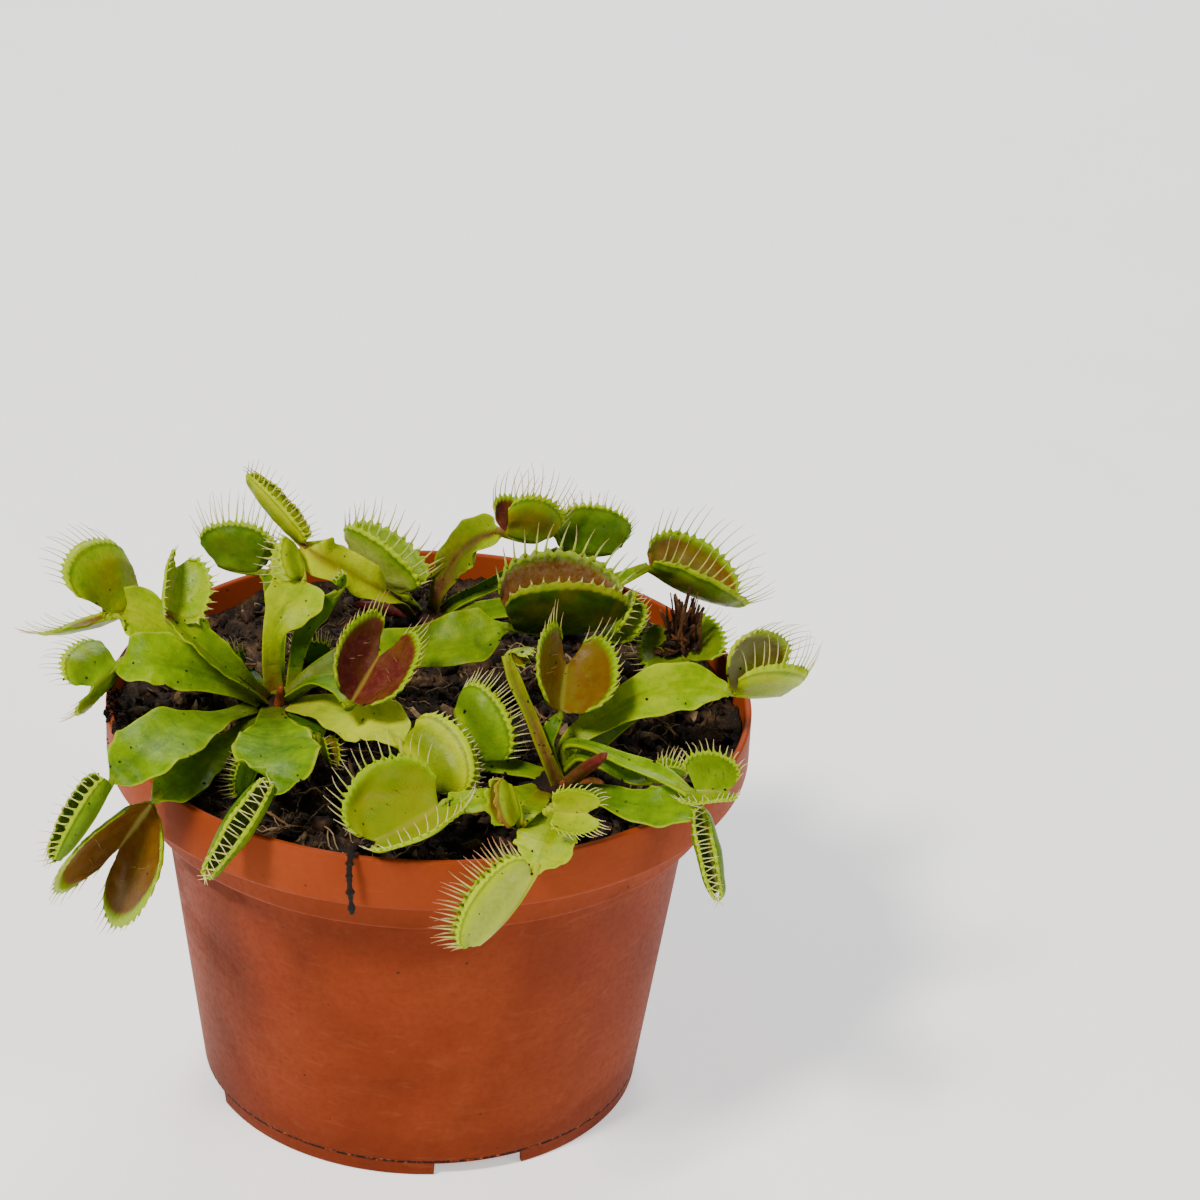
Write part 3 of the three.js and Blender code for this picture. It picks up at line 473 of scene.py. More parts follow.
def crumbBit(centres, sizes, seed, slot=0):
    # Crumbs: balls stretched three ways, turned at random and dented by noise. sizes is (crumbs, 3).
    r = np.random.default_rng(seed)
    shape, quads, caps = ballShape()
    count, each = len(centres), len(shape)
    turn = np.linalg.qr(r.normal(size=(count, 3, 3)))[0]
    turn *= np.sign(np.linalg.det(turn))[:, None, None]
    dent = 1 + 0.42 * lumps(shape[None] * 1.3 + 40 * r.normal(size=(count, 1, 3)), 2.2, seed)
    local = shape[None] * dent[..., None] * sizes[:, None]
    points = centres[:, None] + np.einsum("nij,nkj->nki", turn, local)
    shift = each * np.arange(count)[:, None, None]
    return {"points": points.reshape(-1, 3),
            "place": np.repeat(stacked(r.uniform(-0.5, 0.5, count), 0, 0), each, 0),
            "faces": [((quads + shift).reshape(-1, 4), slot), ((caps + shift).reshape(-1, 3), slot)]}


def onDisc(count, radius, seed):
    # x and y of points spread evenly over a disc
    r = np.random.default_rng(seed)
    a, f = r.uniform(0, 2 * np.pi, count), np.sqrt(r.uniform(0, 1, count)) * radius
    return f * np.cos(a), f * np.sin(a)


def fibreBit(count, reach, seed, lengths, radii, slot):
    # peat fibres and old rootlets: arcs that lie on the peat, each end a little in it
    r = np.random.default_rng(seed)
    x, y = onDisc(count, reach, seed + 1)
    f = np.linspace(-0.5, 0.5, 9)
    length, bend = r.uniform(*lengths, (count, 1)), r.normal(0, 0.6, (count, 1))
    heading = r.uniform(0, 2 * np.pi, (count, 1)) + bend * f
    heading = heading + 0.3 * np.sin(9 * f + r.uniform(0, 6, (count, 1)))
    step, middle = length / 8, heading[:, 4:5]
    x = x[:, None] + np.cumsum(np.cos(heading), 1) * step - np.cos(middle) * length / 2
    y = y[:, None] + np.cumsum(np.sin(heading), 1) * step - np.sin(middle) * length / 2
    keep = np.minimum(1, (soil["radius"] - 1.2) / np.hypot(x, y))
    x, y = x * keep, y * keep
    lift = r.uniform(0.1, 1.6, (count, 1)) * (1 - (2 * f) ** 2) - 0.25 * (np.abs(f) > 0.45)
    thick = r.uniform(*radii, (count, 1)) * (1 - 1.2 * f ** 2)
    tone = r.uniform(-0.4, 0.8, (count, 1)) + 0 * f
    return tubeBit(stacked(x, y, soilHeight(x, y) + lift), thick, 5, up, slot, place=stacked(tone, 0, 0))


def scatterSoil(p):
    # loose crumbs, flat chips of bark, pale fibres and a few rootlets
    seed = p["seed"]
    x, y = onDisc(p["crumbs"], p["radius"] - 2, seed)
    size = 0.35 + 1.5 * rng.random(p["crumbs"]) ** 3
    sizes = size[:, None] * rng.uniform(0.45, 1.2, (p["crumbs"], 3))
    crumbs = crumbBit(stacked(x, y, soilHeight(x, y) + 0.2 * size), sizes, seed + 1)
    x, y = onDisc(p["chips"], p["radius"] - 3, seed + 2)
    sizes = rng.uniform(*p["chipSizes"], (p["chips"], 3))
    chips = crumbBit(stacked(x, y, soilHeight(x, y) + 0.5), sizes, seed + 3, 1)
    return [crumbs, chips,
            fibreBit(p["fibres"], p["radius"] - 4, seed + 4, p["fibreLengths"], p["fibreRadii"], 1),
            fibreBit(p["roots"], p["radius"] - 6, seed + 5, p["rootLengths"], p["rootRadii"], 2)]


crumb = barkMaterial("darkBarkCrumbs", "#0a0604", "#28190e", "#60442a")
straw = barkMaterial("dryFibre", "#2c2014", "#645036", "#a58b64")
root = barkMaterial("oldRootlets", "#1e130b", "#573b20", "#8f6c45")
soilPiece = makePiece("peat", [soilBit(soil)], [peatSoil()])
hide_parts("soil")
litterPiece = makePiece("peat_litter", scatterSoil(soil), [crumb, straw, root])
print("soil done")


# Every leaf by its plant. rows are points of the midrib and the width there, from the crown out to
# the neck; face is which way the blade looks and fold how far its wings rise, in degrees. hinge and
# mouth are the trap's directions; length, depth, gape, cup, sweep, ends and tooth its form; teeth
# how many on each lobe and root how thick. The rest are shares of colour: tint is dark green to
# yellow, blush the red inside the trap, pale whitish, rosy the red base, pink the tips, and dark a
# painted shade for leaves that lie in shadow.
# rosyTo is how far the red base reaches, ribRosy a red midrib, rimRosy a red margin of the trap and
# neck a red neck. leftTeeth and rightTeeth shorten the teeth of a lobe, tipTeeth all but those at
# the far end. trapTint, trapPale and darkTeeth take the place of tint, pale and dark there. A leaf
# lists only what differs from usualLeaf.
usualLeaf = {
    "face": [0, -0.5, 0.8], "fold": 10, "cup": 45, "sweep": 8, "ends": [0.5, 0.5], "tooth": 4, "teeth": 14,
    "root": 0.17, "tint": 0.62, "blush": 0.1, "pale": 0, "rosy": 0.3, "pink": 0.1, "dark": 0,
    "rosyTo": 0.34, "ribRosy": 0, "rimRosy": 0, "leftTeeth": 1, "rightTeeth": 1, "tipTeeth": 1,
}
leaves = {}
leaves["left"] = {
    "upright": {
        "rows": [[-29, 0, 77, 4], [-29.5, -1, 86, 3.6], [-29, -0.5, 92, 4.4], [-26.5, 1.5, 96, 10],
                 [-24.5, 4, 98, 10.5], [-24, 6, 99, 1.8]],
        "face": [0.1, -0.6, 0.8], "fold": 16, "hinge": [-0.2, 0.7, 0.7], "mouth": [-1, -0.2, 0.2],
        "length": 6.5, "depth": 6.5, "gape": 60, "tooth": 3, "teeth": 8, "root": 0.16, "tint": 0.85,
        "blush": 0, "rosy": 0.8,
    },
    "folded": {
        "rows": [[-30.5, -3, 79, 3.5], [-35, -8.5, 86, 5.5], [-41, -9.5, 92, 8.5], [-45, -9, 96, 8.5],
                 [-48, -8, 98.5, 1.8]],
        "face": [0.5, -0.5, 0.7], "fold": 45, "hinge": [0.1, 0.7, 0.7], "mouth": [0.6, -0.7, 0.4],
        "length": 9.5, "depth": 8, "gape": 80, "cup": 40, "sweep": 0, "tooth": 2, "teeth": 11, "root": 0.15,
        "tint": 0.72, "blush": 0.05, "rosy": 0.6, "pink": 0.3, "dark": 0.35, "neck": 0.9,
    },
    "wide": {
        "rows": [[-31, -2, 78, 3.4], [-37, -6.5, 83.5, 4.3], [-44, -8.5, 88, 9], [-50.5, -9.5, 90.5, 11],
                 [-55, -9.5, 90, 8], [-57, -7.5, 88.5, 1.8]],
        "face": [0, -0.6, 0.8], "hinge": [-0.5, -0.9, -0.1], "mouth": [-0.9, 0.3, -0.3], "length": 9,
        "depth": 9, "gape": 90, "root": 0.15, "blush": 0.2, "pink": 0.3, "dark": 0.1,
    },
    "high": {
        "rows": [[-31.5, 1, 77, 3.5], [-39.5, 5, 80.5, 4], [-47.5, 9.5, 84, 6], [-54, 11, 88, 11],
                 [-58.5, 10, 90, 8.5], [-60.5, 7, 90.5, 1.8]],
        "face": [0.1, -0.6, 0.8], "fold": 12, "hinge": [0.5, 0.8, -0.2], "mouth": [-0.8, 0.6, 0.2],
        "length": 10.8, "depth": 16.2, "gape": 76, "cup": 44, "sweep": -24, "ends": [0.52, 0.8], "tooth": 5,
        "teeth": 17, "root": 0.14, "tint": 0.8, "blush": 0.6, "pink": 0.7, "dark": 0.15, "trapTint": 0.75,
        "darkTeeth": 0.8,
    },
    "low": {
        "rows": [[-32, -3, 77.5, 3.2], [-37.5, -14.5, 81.5, 4.2], [-44, -33, 89, 11.5],
                 [-49.5, -45.5, 91.5, 12.5], [-53, -49.5, 90, 8], [-55, -50.5, 88.5, 1.8]],
        "hinge": [-0.5, -0.5, -0.7], "mouth": [-0.5, -0.5, 0.7], "length": 15, "depth": 7.5, "gape": 22,
        "cup": 95, "sweep": 16, "tint": 0.55, "blush": 0.15, "rosy": 0.25, "pink": 0.05, "dark": 0.15,
    },
    "under": {
        "rows": [[-31, -2.5, 76.5, 3], [-35.5, -16, 78.5, 3.2], [-40.5, -30, 81, 7.5], [-45, -39, 81.5, 9],
                 [-48, -43.5, 81, 1.8]],
        "face": [0.2, -0.5, 0.8], "hinge": [-0.5, 0.2, -0.9], "mouth": [-0.2, -1, -0.1], "length": 14.1,
        "depth": 19.1, "gape": 56, "cup": 35, "sweep": 30, "ends": [0.31, 0.31], "teeth": 16, "blush": 0.66,
        "rosy": 0.25, "pink": 0.2, "dark": 0.35, "tipTeeth": 0.3,
    },
    "shade": {
        "rows": [[-29, -3, 76.5, 2.6], [-29.5, -14.5, 79, 2.8], [-30, -22.5, 80, 3],
                 [-30.5, -27, 80.5, 1.8]],
        "face": [0.1, -0.4, 0.9], "hinge": [-0.3, -0.7, -0.6], "mouth": [-0.9, -0.1, 0.4], "length": 7.2,
        "depth": 4.6, "gape": 44, "cup": 40, "tooth": 2.5, "teeth": 12, "root": 0.15, "tint": 0.3,
        "blush": 0, "dark": 0.5,
    },
    "heart": {
        "rows": [[-29, -4.5, 78, 4], [-28.5, -19.5, 83, 7], [-27.5, -32, 86.5, 14], [-26.5, -42.5, 88.5, 15],
                 [-27, -48, 88.5, 9], [-28, -48, 87, 1.8]],
        "fold": 8, "hinge": [-0.5, -0.6, -0.6], "mouth": [0.1, -0.7, 0.7], "length": 18, "depth": 8,
        "gape": 24, "cup": 115, "sweep": 10, "tooth": 3.5, "root": 0.18, "tint": 0.45, "blush": 0.15,
        "rosy": 0.25, "dark": 0.05,
    },
    "long": {
        "rows": [[-26.5, -2, 77.5, 3.5], [-20.5, -9, 81, 6], [-14, -18, 84, 10], [-8, -24.5, 85.5, 10.5],
                 [-5, -30, 85.5, 1.8]],
        "face": [0, -0.5, 0.9], "hinge": [0.6, -0.7, -0.5], "mouth": [0.9, 0.2, 0.5], "length": 11,
        "depth": 12, "gape": 26, "cup": 70, "tooth": 1.5, "teeth": 18, "root": 0.18, "tint": 0.95,
        "blush": 0, "pale": 0.15, "rosy": 0.2, "pink": 0,
    },
    "red": {
        "rows": [[-26.5, -2.5, 79.5, 3.5], [-23.5, -6.5, 84, 4], [-19.5, -11.5, 88, 4.5], [-16, -19, 90, 4],
                 [-14.5, -24.5, 90, 1.8]],
        "face": [0, -0.3, 1], "fold": 12, "hinge": [0.4, 0.8, 0.4], "mouth": [0.2, -0.6, 0.8], "length": 12,
        "depth": 12, "gape": 80, "cup": 35, "sweep": 22, "ends": [0.3, 0.7], "tooth": 5, "teeth": 15,
        "tint": 0.5, "blush": 0.97, "pink": 0.8, "dark": 0.1, "tipTeeth": 0.35,
    },
    "young": {
        "rows": [[-27.5, -2, 76.5, 2.4], [-24, -7, 77.5, 4.3], [-21, -12, 78.5, 4], [-20, -16.5, 79, 1.8]],
        "face": [0.2, -0.4, 0.9], "hinge": [0.3, -0.6, -0.7], "mouth": [0.6, -0.6, 0.6], "length": 5,
        "depth": 4, "gape": 40, "cup": 35, "tooth": 2.5, "teeth": 8, "root": 0.12, "tint": 0.3, "blush": 0.4,
        "rosy": 0.4, "pink": 0.2, "dark": 0.4,
    },
    "bud": {
        "rows": [[-31, -1, 78, 3], [-32.5, 2.5, 79.5, 3.6], [-34, 6.5, 80, 1.6]],
        "face": [0.2, -0.4, 0.9], "hinge": [-0.9, 0.3, -0.3], "mouth": [0, 0.3, 1], "length": 4.5,
        "depth": 4.5, "gape": 35, "cup": 35, "tooth": 3, "teeth": 10, "root": 0.12, "tint": 0.35,
        "dark": 0.35,
    },
    "dark": {
        "rows": [[-27, 0.5, 77.5, 3], [-23.5, 3.5, 79, 4], [-20, 6, 80.5, 4], [-18.5, 8, 81, 1.6]],
        "face": [0, -0.4, 0.9], "hinge": [-1, 0, 0.1], "mouth": [0.1, 0.7, 0.7], "length": 6, "depth": 4.5,
        "gape": 40, "tooth": 3, "teeth": 10, "root": 0.12, "tint": 0.3, "dark": 0.4,
    },
    "curved": {
        "rows": [[-25.5, 0, 79, 3], [-25, 1.5, 85, 3], [-23.5, 2.5, 91, 4], [-21, 4.5, 94, 4.5],
                 [-17.5, 7.5, 96, 1.6]],
        "face": [0.3, -1, 0.1], "hinge": [0.5, 0.4, 0.8], "mouth": [-0.9, -0.1, 0.5], "length": 3,
        "depth": 2.5, "gape": 50, "cup": 35, "tooth": 1, "teeth": 4, "root": 0.1, "tint": 0.45, "blush": 0,
        "rosy": 0.4, "dark": 0.3,
    },
    "reach": {
        "rows": [[-26.5, -1.5, 79, 3.5], [-19.5, 0.5, 84, 4.5], [-10.5, 1, 88, 7], [0.5, -2.5, 91, 10],
                 [9, -2, 93, 11], [12.5, -1.5, 94, 4], [14, -2, 95, 1.8]],
        "fold": 12, "hinge": [1, 0.2, -0.1], "mouth": [0, 0, 1], "length": 16.5, "depth": 16, "gape": 50,
        # dark and the low trapTint paint shade on the front lobe, which lies in shadow
        "tooth": 6, "teeth": 15, "root": 0.34, "blush": 0.68, "rosy": 0.35, "pink": 0.15, "dark": 0.7,
        "rightTeeth": 0.2, "trapPale": 0.24, "trapTint": 0.16,
    },
    "rear": {
        "rows": [[-28.5, -1, 79, 3], [-29, 7, 84, 3.5], [-29, 13.5, 88, 4], [-30, 18, 92, 4],
                 [-32, 19.5, 94, 1.8]],
        "face": [0.1, -0.7, 0.7], "hinge": [-1, 0.3, 0], "mouth": [0, 0.6, 0.8], "length": 9, "depth": 10,
        "gape": 46, "ends": [0.6, 0.6], "tooth": 6, "teeth": 15, "root": 0.15, "tint": 0.45, "blush": 0.2,
        "rosy": 0.4, "pink": 0.3, "dark": 0.3,
    },
}
leaves["back"] = {
    "left": {
        "rows": [[-4.5, 30, 81, 3.5], [-9, 19, 90.5, 5.6], [-15.5, 16, 96, 8.5], [-21, 13, 100.5, 8.5],
                 [-24.5, 14.5, 102.5, 1.8]],
        "face": [-0.1, -0.6, 0.8], "fold": 14, "hinge": [-0.7, 0.3, 0.7], "mouth": [0.5, -0.5, 0.8],
        "length": 15, "depth": 6.5, "gape": 20, "cup": 100, "teeth": 16, "tint": 1, "rosy": 0.9, "pink": 0.6,
        "dark": 0.1, "neck": 0.9, "ribRosy": 0.55,
    },
    "cup": {
        "rows": [[-2.5, 36.5, 77.5, 3.2], [-3.5, 31.5, 82, 3.2], [-5, 27.5, 85.5, 1.8]],
        "face": [0.2, -0.5, 0.9], "hinge": [-0.8, 0.4, 0.5], "mouth": [0.5, 0.1, 0.8], "length": 14,
        "depth": 9.8, "gape": 64, "cup": 50, "sweep": 4, "ends": [0.6, 0.6], "tooth": 5, "teeth": 13,
        "root": 0.24, "rosy": 1, "pink": 0.45, "dark": 0.05, "trapPale": 0.75, "ribRosy": 0.4,
    },
    "right": {
        "rows": [[0, 33.5, 79, 3.5], [1.5, 31.5, 86, 4.5], [4.5, 31.5, 92, 9], [8, 30.5, 96, 10.5],
                 [11, 27.5, 99, 7], [12.5, 27, 100, 1.8]],
        "face": [-0.2, -0.5, 0.8], "fold": 12, "hinge": [0.8, 0.4, -0.4], "mouth": [-0.1, 0.4, 0.9],
        "length": 9, "depth": 10, "gape": 55, "tooth": 6, "tint": 0.7, "blush": 0.95, "rosy": 1, "pink": 1,
        "dark": 0.15, "neck": 0.7, "rosyTo": 1.15, "ribRosy": 0.95,
    },
    "groove": {
        "rows": [[1, 33.5, 77.5, 3], [4.5, 32.5, 81.5, 3.2], [11, 33, 85, 3.5], [18.5, 35, 88.5, 3.5],
                 [24, 35.5, 92, 1.8]],
        "fold": 30, "hinge": [1, 0.2, -0.1], "mouth": [0, 0.7, 0.7], "length": 11, "depth": 10.5, "gape": 30,
        "cup": 60, "teeth": 15, "tint": 0.4, "blush": 0.15, "rosy": 0.7, "pink": 0.5, "dark": 0.2,
    },
    "far": {
        "rows": [[0, 32, 77.5, 3.5], [10, 29.5, 81.5, 4.5], [21.5, 25, 86, 5], [33, 23.5, 91, 4],
                 [40.5, 23, 95.5, 1.8]],
        "fold": 12, "hinge": [0.8, 0.2, -0.5], "mouth": [0.6, 0, 0.8], "length": 18.2, "depth": 11.2,
        "gape": 80, "cup": 57, "sweep": 4, "ends": [0.38, 0.39], "tooth": 7, "teeth": 16, "root": 0.19,
        "tint": 0.6, "blush": 0.5, "rosy": 0.8, "pink": 0.7, "dark": 0.3,
    },
}
leaves["right"] = {
    "front": {
        "rows": [[22, -28.5, 76.5, 3.5], [16, -36, 79, 4.5], [10, -42.5, 81.5, 5.5], [4.5, -46, 82.5, 5],
                 [3, -46, 83, 1.8]],
        "face": [0, -0.4, 0.9], "hinge": [-0.8, -0.6, -0.2], "mouth": [-0.2, -0.4, 0.9], "length": 15,
        "depth": 13.5, "gape": 96, "cup": 50, "ends": [0.3, 0.35], "tooth": 6, "teeth": 17, "root": 0.2,
        "tint": 0.72, "blush": 0.27, "pink": 0,
    },
    "mid": {
        "rows": [[24, -24, 78.5, 2.8], [28, -16.5, 81, 3], [29.5, -8, 83.5, 3.2], [31, 0.5, 86.5, 3.2],
                 [32, 5, 88.5, 1.8]],
        "face": [-0.3, -0.7, 0.7], "hinge": [0.3, 0.9, 0.3], "mouth": [0.8, -0.1, 0.6], "length": 9,
        "depth": 8, "gape": 30, "cup": 60, "tooth": 2, "teeth": 10, "root": 0.16, "tint": 0.52, "blush": 0.2,
        "pink": 0.3, "dark": 0.25,
    },
    "rear": {
        "rows": [[25.5, -24.5, 77.5, 3], [34, -11.5, 80, 4.3], [41, -4.5, 83, 6], [45.5, 0.5, 84.5, 3],
                 [48, 5, 84.5, 1.8]],
        "fold": 12, "hinge": [-0.2, 0.9, 0.3], "mouth": [-0.2, -0.3, 0.9], "length": 8.2, "depth": 8.4,
        "gape": 169, "cup": 21, "sweep": 5, "ends": [0.46, 0.64], "tooth": 3, "teeth": 12, "root": 0.16,
        "tint": 0.4, "blush": 0.2, "pink": 0.2, "dark": 0.2,
    },
    "broad": {
        "rows": [[24, -26.5, 79.5, 3.5], [26, -22.5, 83, 4], [32, -20, 86.5, 6], [39, -17.5, 89.5, 9.5],
                 [47, -14.5, 90, 10], [52.5, -14, 89.5, 5], [54.5, -14.5, 89.5, 1.8]],
        "fold": 14, "hinge": [0.7, 0.6, -0.4], "mouth": [0.5, -0.1, 0.8], "length": 8.3, "depth": 14.6,
        "gape": 36, "cup": 72, "sweep": -11, "ends": [0.3, 0.73], "tooth": 6, "teeth": 16, "root": 0.16,
        "tint": 0.74, "blush": 0.42, "rosy": 0.2, "pink": 0.4, "dark": 0.05, "trapTint": 0.85,
    },
    "pink": {
        "rows": [[23.5, -30, 78, 3.4], [21, -30, 84, 2.8], [18, -28, 91, 2.6], [15, -26, 97, 2.8],
                 [13.5, -24, 101, 1.8]],
        "face": [0.2, -0.8, 0.5], "fold": 30, "hinge": [0.7, 0.7, 0], "mouth": [0.5, -0.8, -0.3],
        "length": 4, "depth": 3.5, "gape": 45, "cup": 35, "tooth": 0.8, "teeth": 4, "root": 0.1, "tint": 0.7,
        "blush": 0.5, "rosy": 0.85, "pink": 0.6, "rosyTo": 3,
    },
    "open": {
        "rows": [[23, -29.5, 79.5, 2.8], [21, -28, 84.5, 3.3], [22, -27, 88, 3], [23.5, -25.5, 89.5, 1.8]],
        "face": [0, -0.6, 0.8], "fold": 20, "hinge": [0.1, 0.9, 0.5], "mouth": [0.3, -0.5, 0.8],
        "length": 11, "depth": 12, "gape": 85, "cup": 40, "sweep": 18, "ends": [0.3, 0.65], "tooth": 5,
        "root": 0.16, "tint": 0.4, "blush": 0.5, "pink": 0.4, "dark": 0.35, "tipTeeth": 0.35,
    },
    "smooth": {
        "rows": [[21.5, -28, 78.5, 3], [17, -27.5, 79.5, 3.4], [12.5, -27.5, 80, 3.4],
                 [9, -28.5, 80.5, 1.8]],
        "face": [0, -0.4, 0.9], "hinge": [-0.4, 0.5, 0.8], "mouth": [0.9, 0.2, 0.3], "length": 11,
        "depth": 10.5, "gape": 50, "cup": 55, "teeth": 15, "root": 0.19, "blush": 0.05, "pink": 0.05,
        "dark": 0.05,
    },
    "curl": {
        "rows": [[21, -32.5, 77.5, 3], [19, -43, 81, 4.2], [17.5, -49.5, 83, 3.5], [16.5, -53, 83.5, 1.8]],
        "face": [0, -0.4, 0.9], "hinge": [-0.3, 0.3, 0.9], "mouth": [-0.9, -0.4, 0.1], "length": 7,
        "depth": 5.8, "gape": 45, "cup": 35, "tooth": 0.8, "teeth": 4, "root": 0.1, "tint": 0.8,
        "blush": 0.5, "rosy": 0.6, "pink": 0.3, "rosyTo": 0.5, "neck": 0.5, "rimRosy": 0.9,
        "leftTeeth": 0.12, "rightTeeth": 0.12,
    },
    "small": {
        "rows": [[24.5, -35.5, 78.5, 2.6], [23.5, -45.5, 83, 3], [21, -55.5, 87.5, 1.8]],
        "face": [0, -0.4, 0.9], "hinge": [1, 0.1, -0.1], "mouth": [0.3, -0.8, 0.5], "length": 7, "depth": 6,
        "gape": 84, "cup": 35, "tooth": 3, "teeth": 13, "root": 0.14, "tint": 0.85, "pale": 0.05,
    },
    "hanging": {
        "rows": [[23, -31.5, 76, 3.5], [22, -43, 79, 6], [21, -55, 81.5, 10.5], [20, -62, 82, 9.5],
                 [19, -65.5, 81.5, 1.8]],
        "face": [0, -0.5, 0.9], "hinge": [-0.6, -0.4, -0.7], "mouth": [-0.8, 0.1, 0.6], "length": 16.5,
        "depth": 8.5, "gape": 18, "cup": 60, "ends": [0.4, 0.35], "tooth": 5.5, "teeth": 17, "root": 0.25,
        "tint": 0.85, "blush": 0, "rosy": 0.2, "pink": 0.85, "trapPale": 0.62,
    },
    "side": {
        "rows": [[24.5, -30, 77, 3.5], [31, -36.5, 79.5, 5], [38, -44, 82, 8], [44.5, -45, 82.5, 7.5],
                 [48.5, -43.5, 81.5, 1.8]],
        "face": [0, -0.5, 0.9], "fold": 12, "hinge": [0.2, -0.6, -0.7], "mouth": [-0.2, -0.8, 0.6],
        "length": 15, "depth": 7, "gape": 22, "cup": 110, "tooth": 3.5, "root": 0.15, "tint": 0.5,
        "rosy": 0.2, "dark": 0.05,
    },
    "arch": {
        "rows": [[24, -26, 80, 2.2], [25, -27.5, 85, 2.2], [29, -32.5, 87.5, 2.4], [34.5, -38, 88, 3],
                 [41, -42, 87.5, 4], [46, -47, 87, 1.8]],
        "face": [0, -0.4, 0.9], "fold": 20, "hinge": [0.9, -0.3, 0.2], "mouth": [0.3, -0.6, 0.8],
        "length": 7, "depth": 8.5, "gape": 75, "ends": [0.6, 0.5], "tooth": 3.5, "root": 0.14, "tint": 0.6,
        "rosy": 0.2, "pink": 0.2, "dark": 0.1,
    },
    "thin": {
        "rows": [[24, -26.5, 78.5, 2.2], [27, -29.5, 83.5, 2.2], [31, -33.5, 84.5, 2.5],
                 [36.5, -35, 82.5, 3.5], [40, -34.5, 82, 1.6]],
        "face": [0, -0.4, 0.9], "fold": 20, "hinge": [1, 0.2, -0.1], "mouth": [-0.2, 0, 1], "length": 4.5,
        "depth": 4.5, "gape": 40, "tooth": 3, "teeth": 10, "root": 0.13, "tint": 0.5, "rosy": 0.2,
        "pink": 0.2, "dark": 0.2,
    },
}
for group in leaves.values():
    for name, leaf in group.items():
        group[name] = {**usualLeaf, **leaf}

# What all leaves share: lengths in millimetres, angles in degrees, the rest as shares and counts.
# A rib or bead has its height and its width; hairs are at (along, across) with length and radius.
leafForm = {
    "neckWidth": 1.8, "neckLength": 1.2, "fan": 38, "arch": 0.07, "roundness": 0.7, "fullSize": 9,
    "wave": 0.1, "waves": 2.5, "ripple": 0.045, "ripples": 8.5, "notch": 0.05, "notches": 5.3,
    "wavyFrom": 1.6, "wavyTo": 4.0, "blade": 0.42, "midrib": (1.1, 1.15), "channel": 0.3, "lapThin": 0.65,
    "lobe": 0.46, "hingeRib": (0.5, 0.14), "rimBead": (0.3, 0.045), "beadAt": 0.95, "footSwell": 0.55,
    "wobble": 0.18, "wobbleSize": 9, "bladeRows": 54, "baseRows": 18, "bladeColumns": 17, "lobeRows": 56,
    "lobeColumns": 14, "toothSides": 7, "toothLengths": (0.86, 1.12), "toothBends": (0.5, 1.4), "lean": 8,
    "toothTurn": 4, "hairs": ((0.36, 0.52), (0.5, 0.42), (0.64, 0.52)), "hair": (1.5, 0.11),
    "crownRadius": 9, "crownLap": 0.3, "lapLength": 0.05, "dome": (6.5, 6.5, 5.0), "domeSunk": 0.8,
    "speckTries": (7, 4),
}
crownCentres = {"left": [-29, -1, 75], "back": [-1.5, 33, 76], "right": [22.5, -27.5, 75]}
# stubs of dead stalks in the crowns: from, to, radius and how pink
crownStubs = {
    "left": [([-28.5, -3.5, 77], [-27, -5, 83.5], 1.0, 0.2)],
    "back": [([-3, 32, 78.5], [-15, 34, 80.5], 1.5, 1.0), ([0, 33, 78], [7, 36.5, 79.5], 1.4, 0.9)],
    "right": [([24.6, -33, 79.5], [31.8, -41, 91.5], 1.35, 0.5), ([28, -27, 76], [32, -31, 79.5], 1.1, 0.3),
              ([24, -33.5, 78], [24.3, -38.5, 84], 0.9, 0.1)],
}


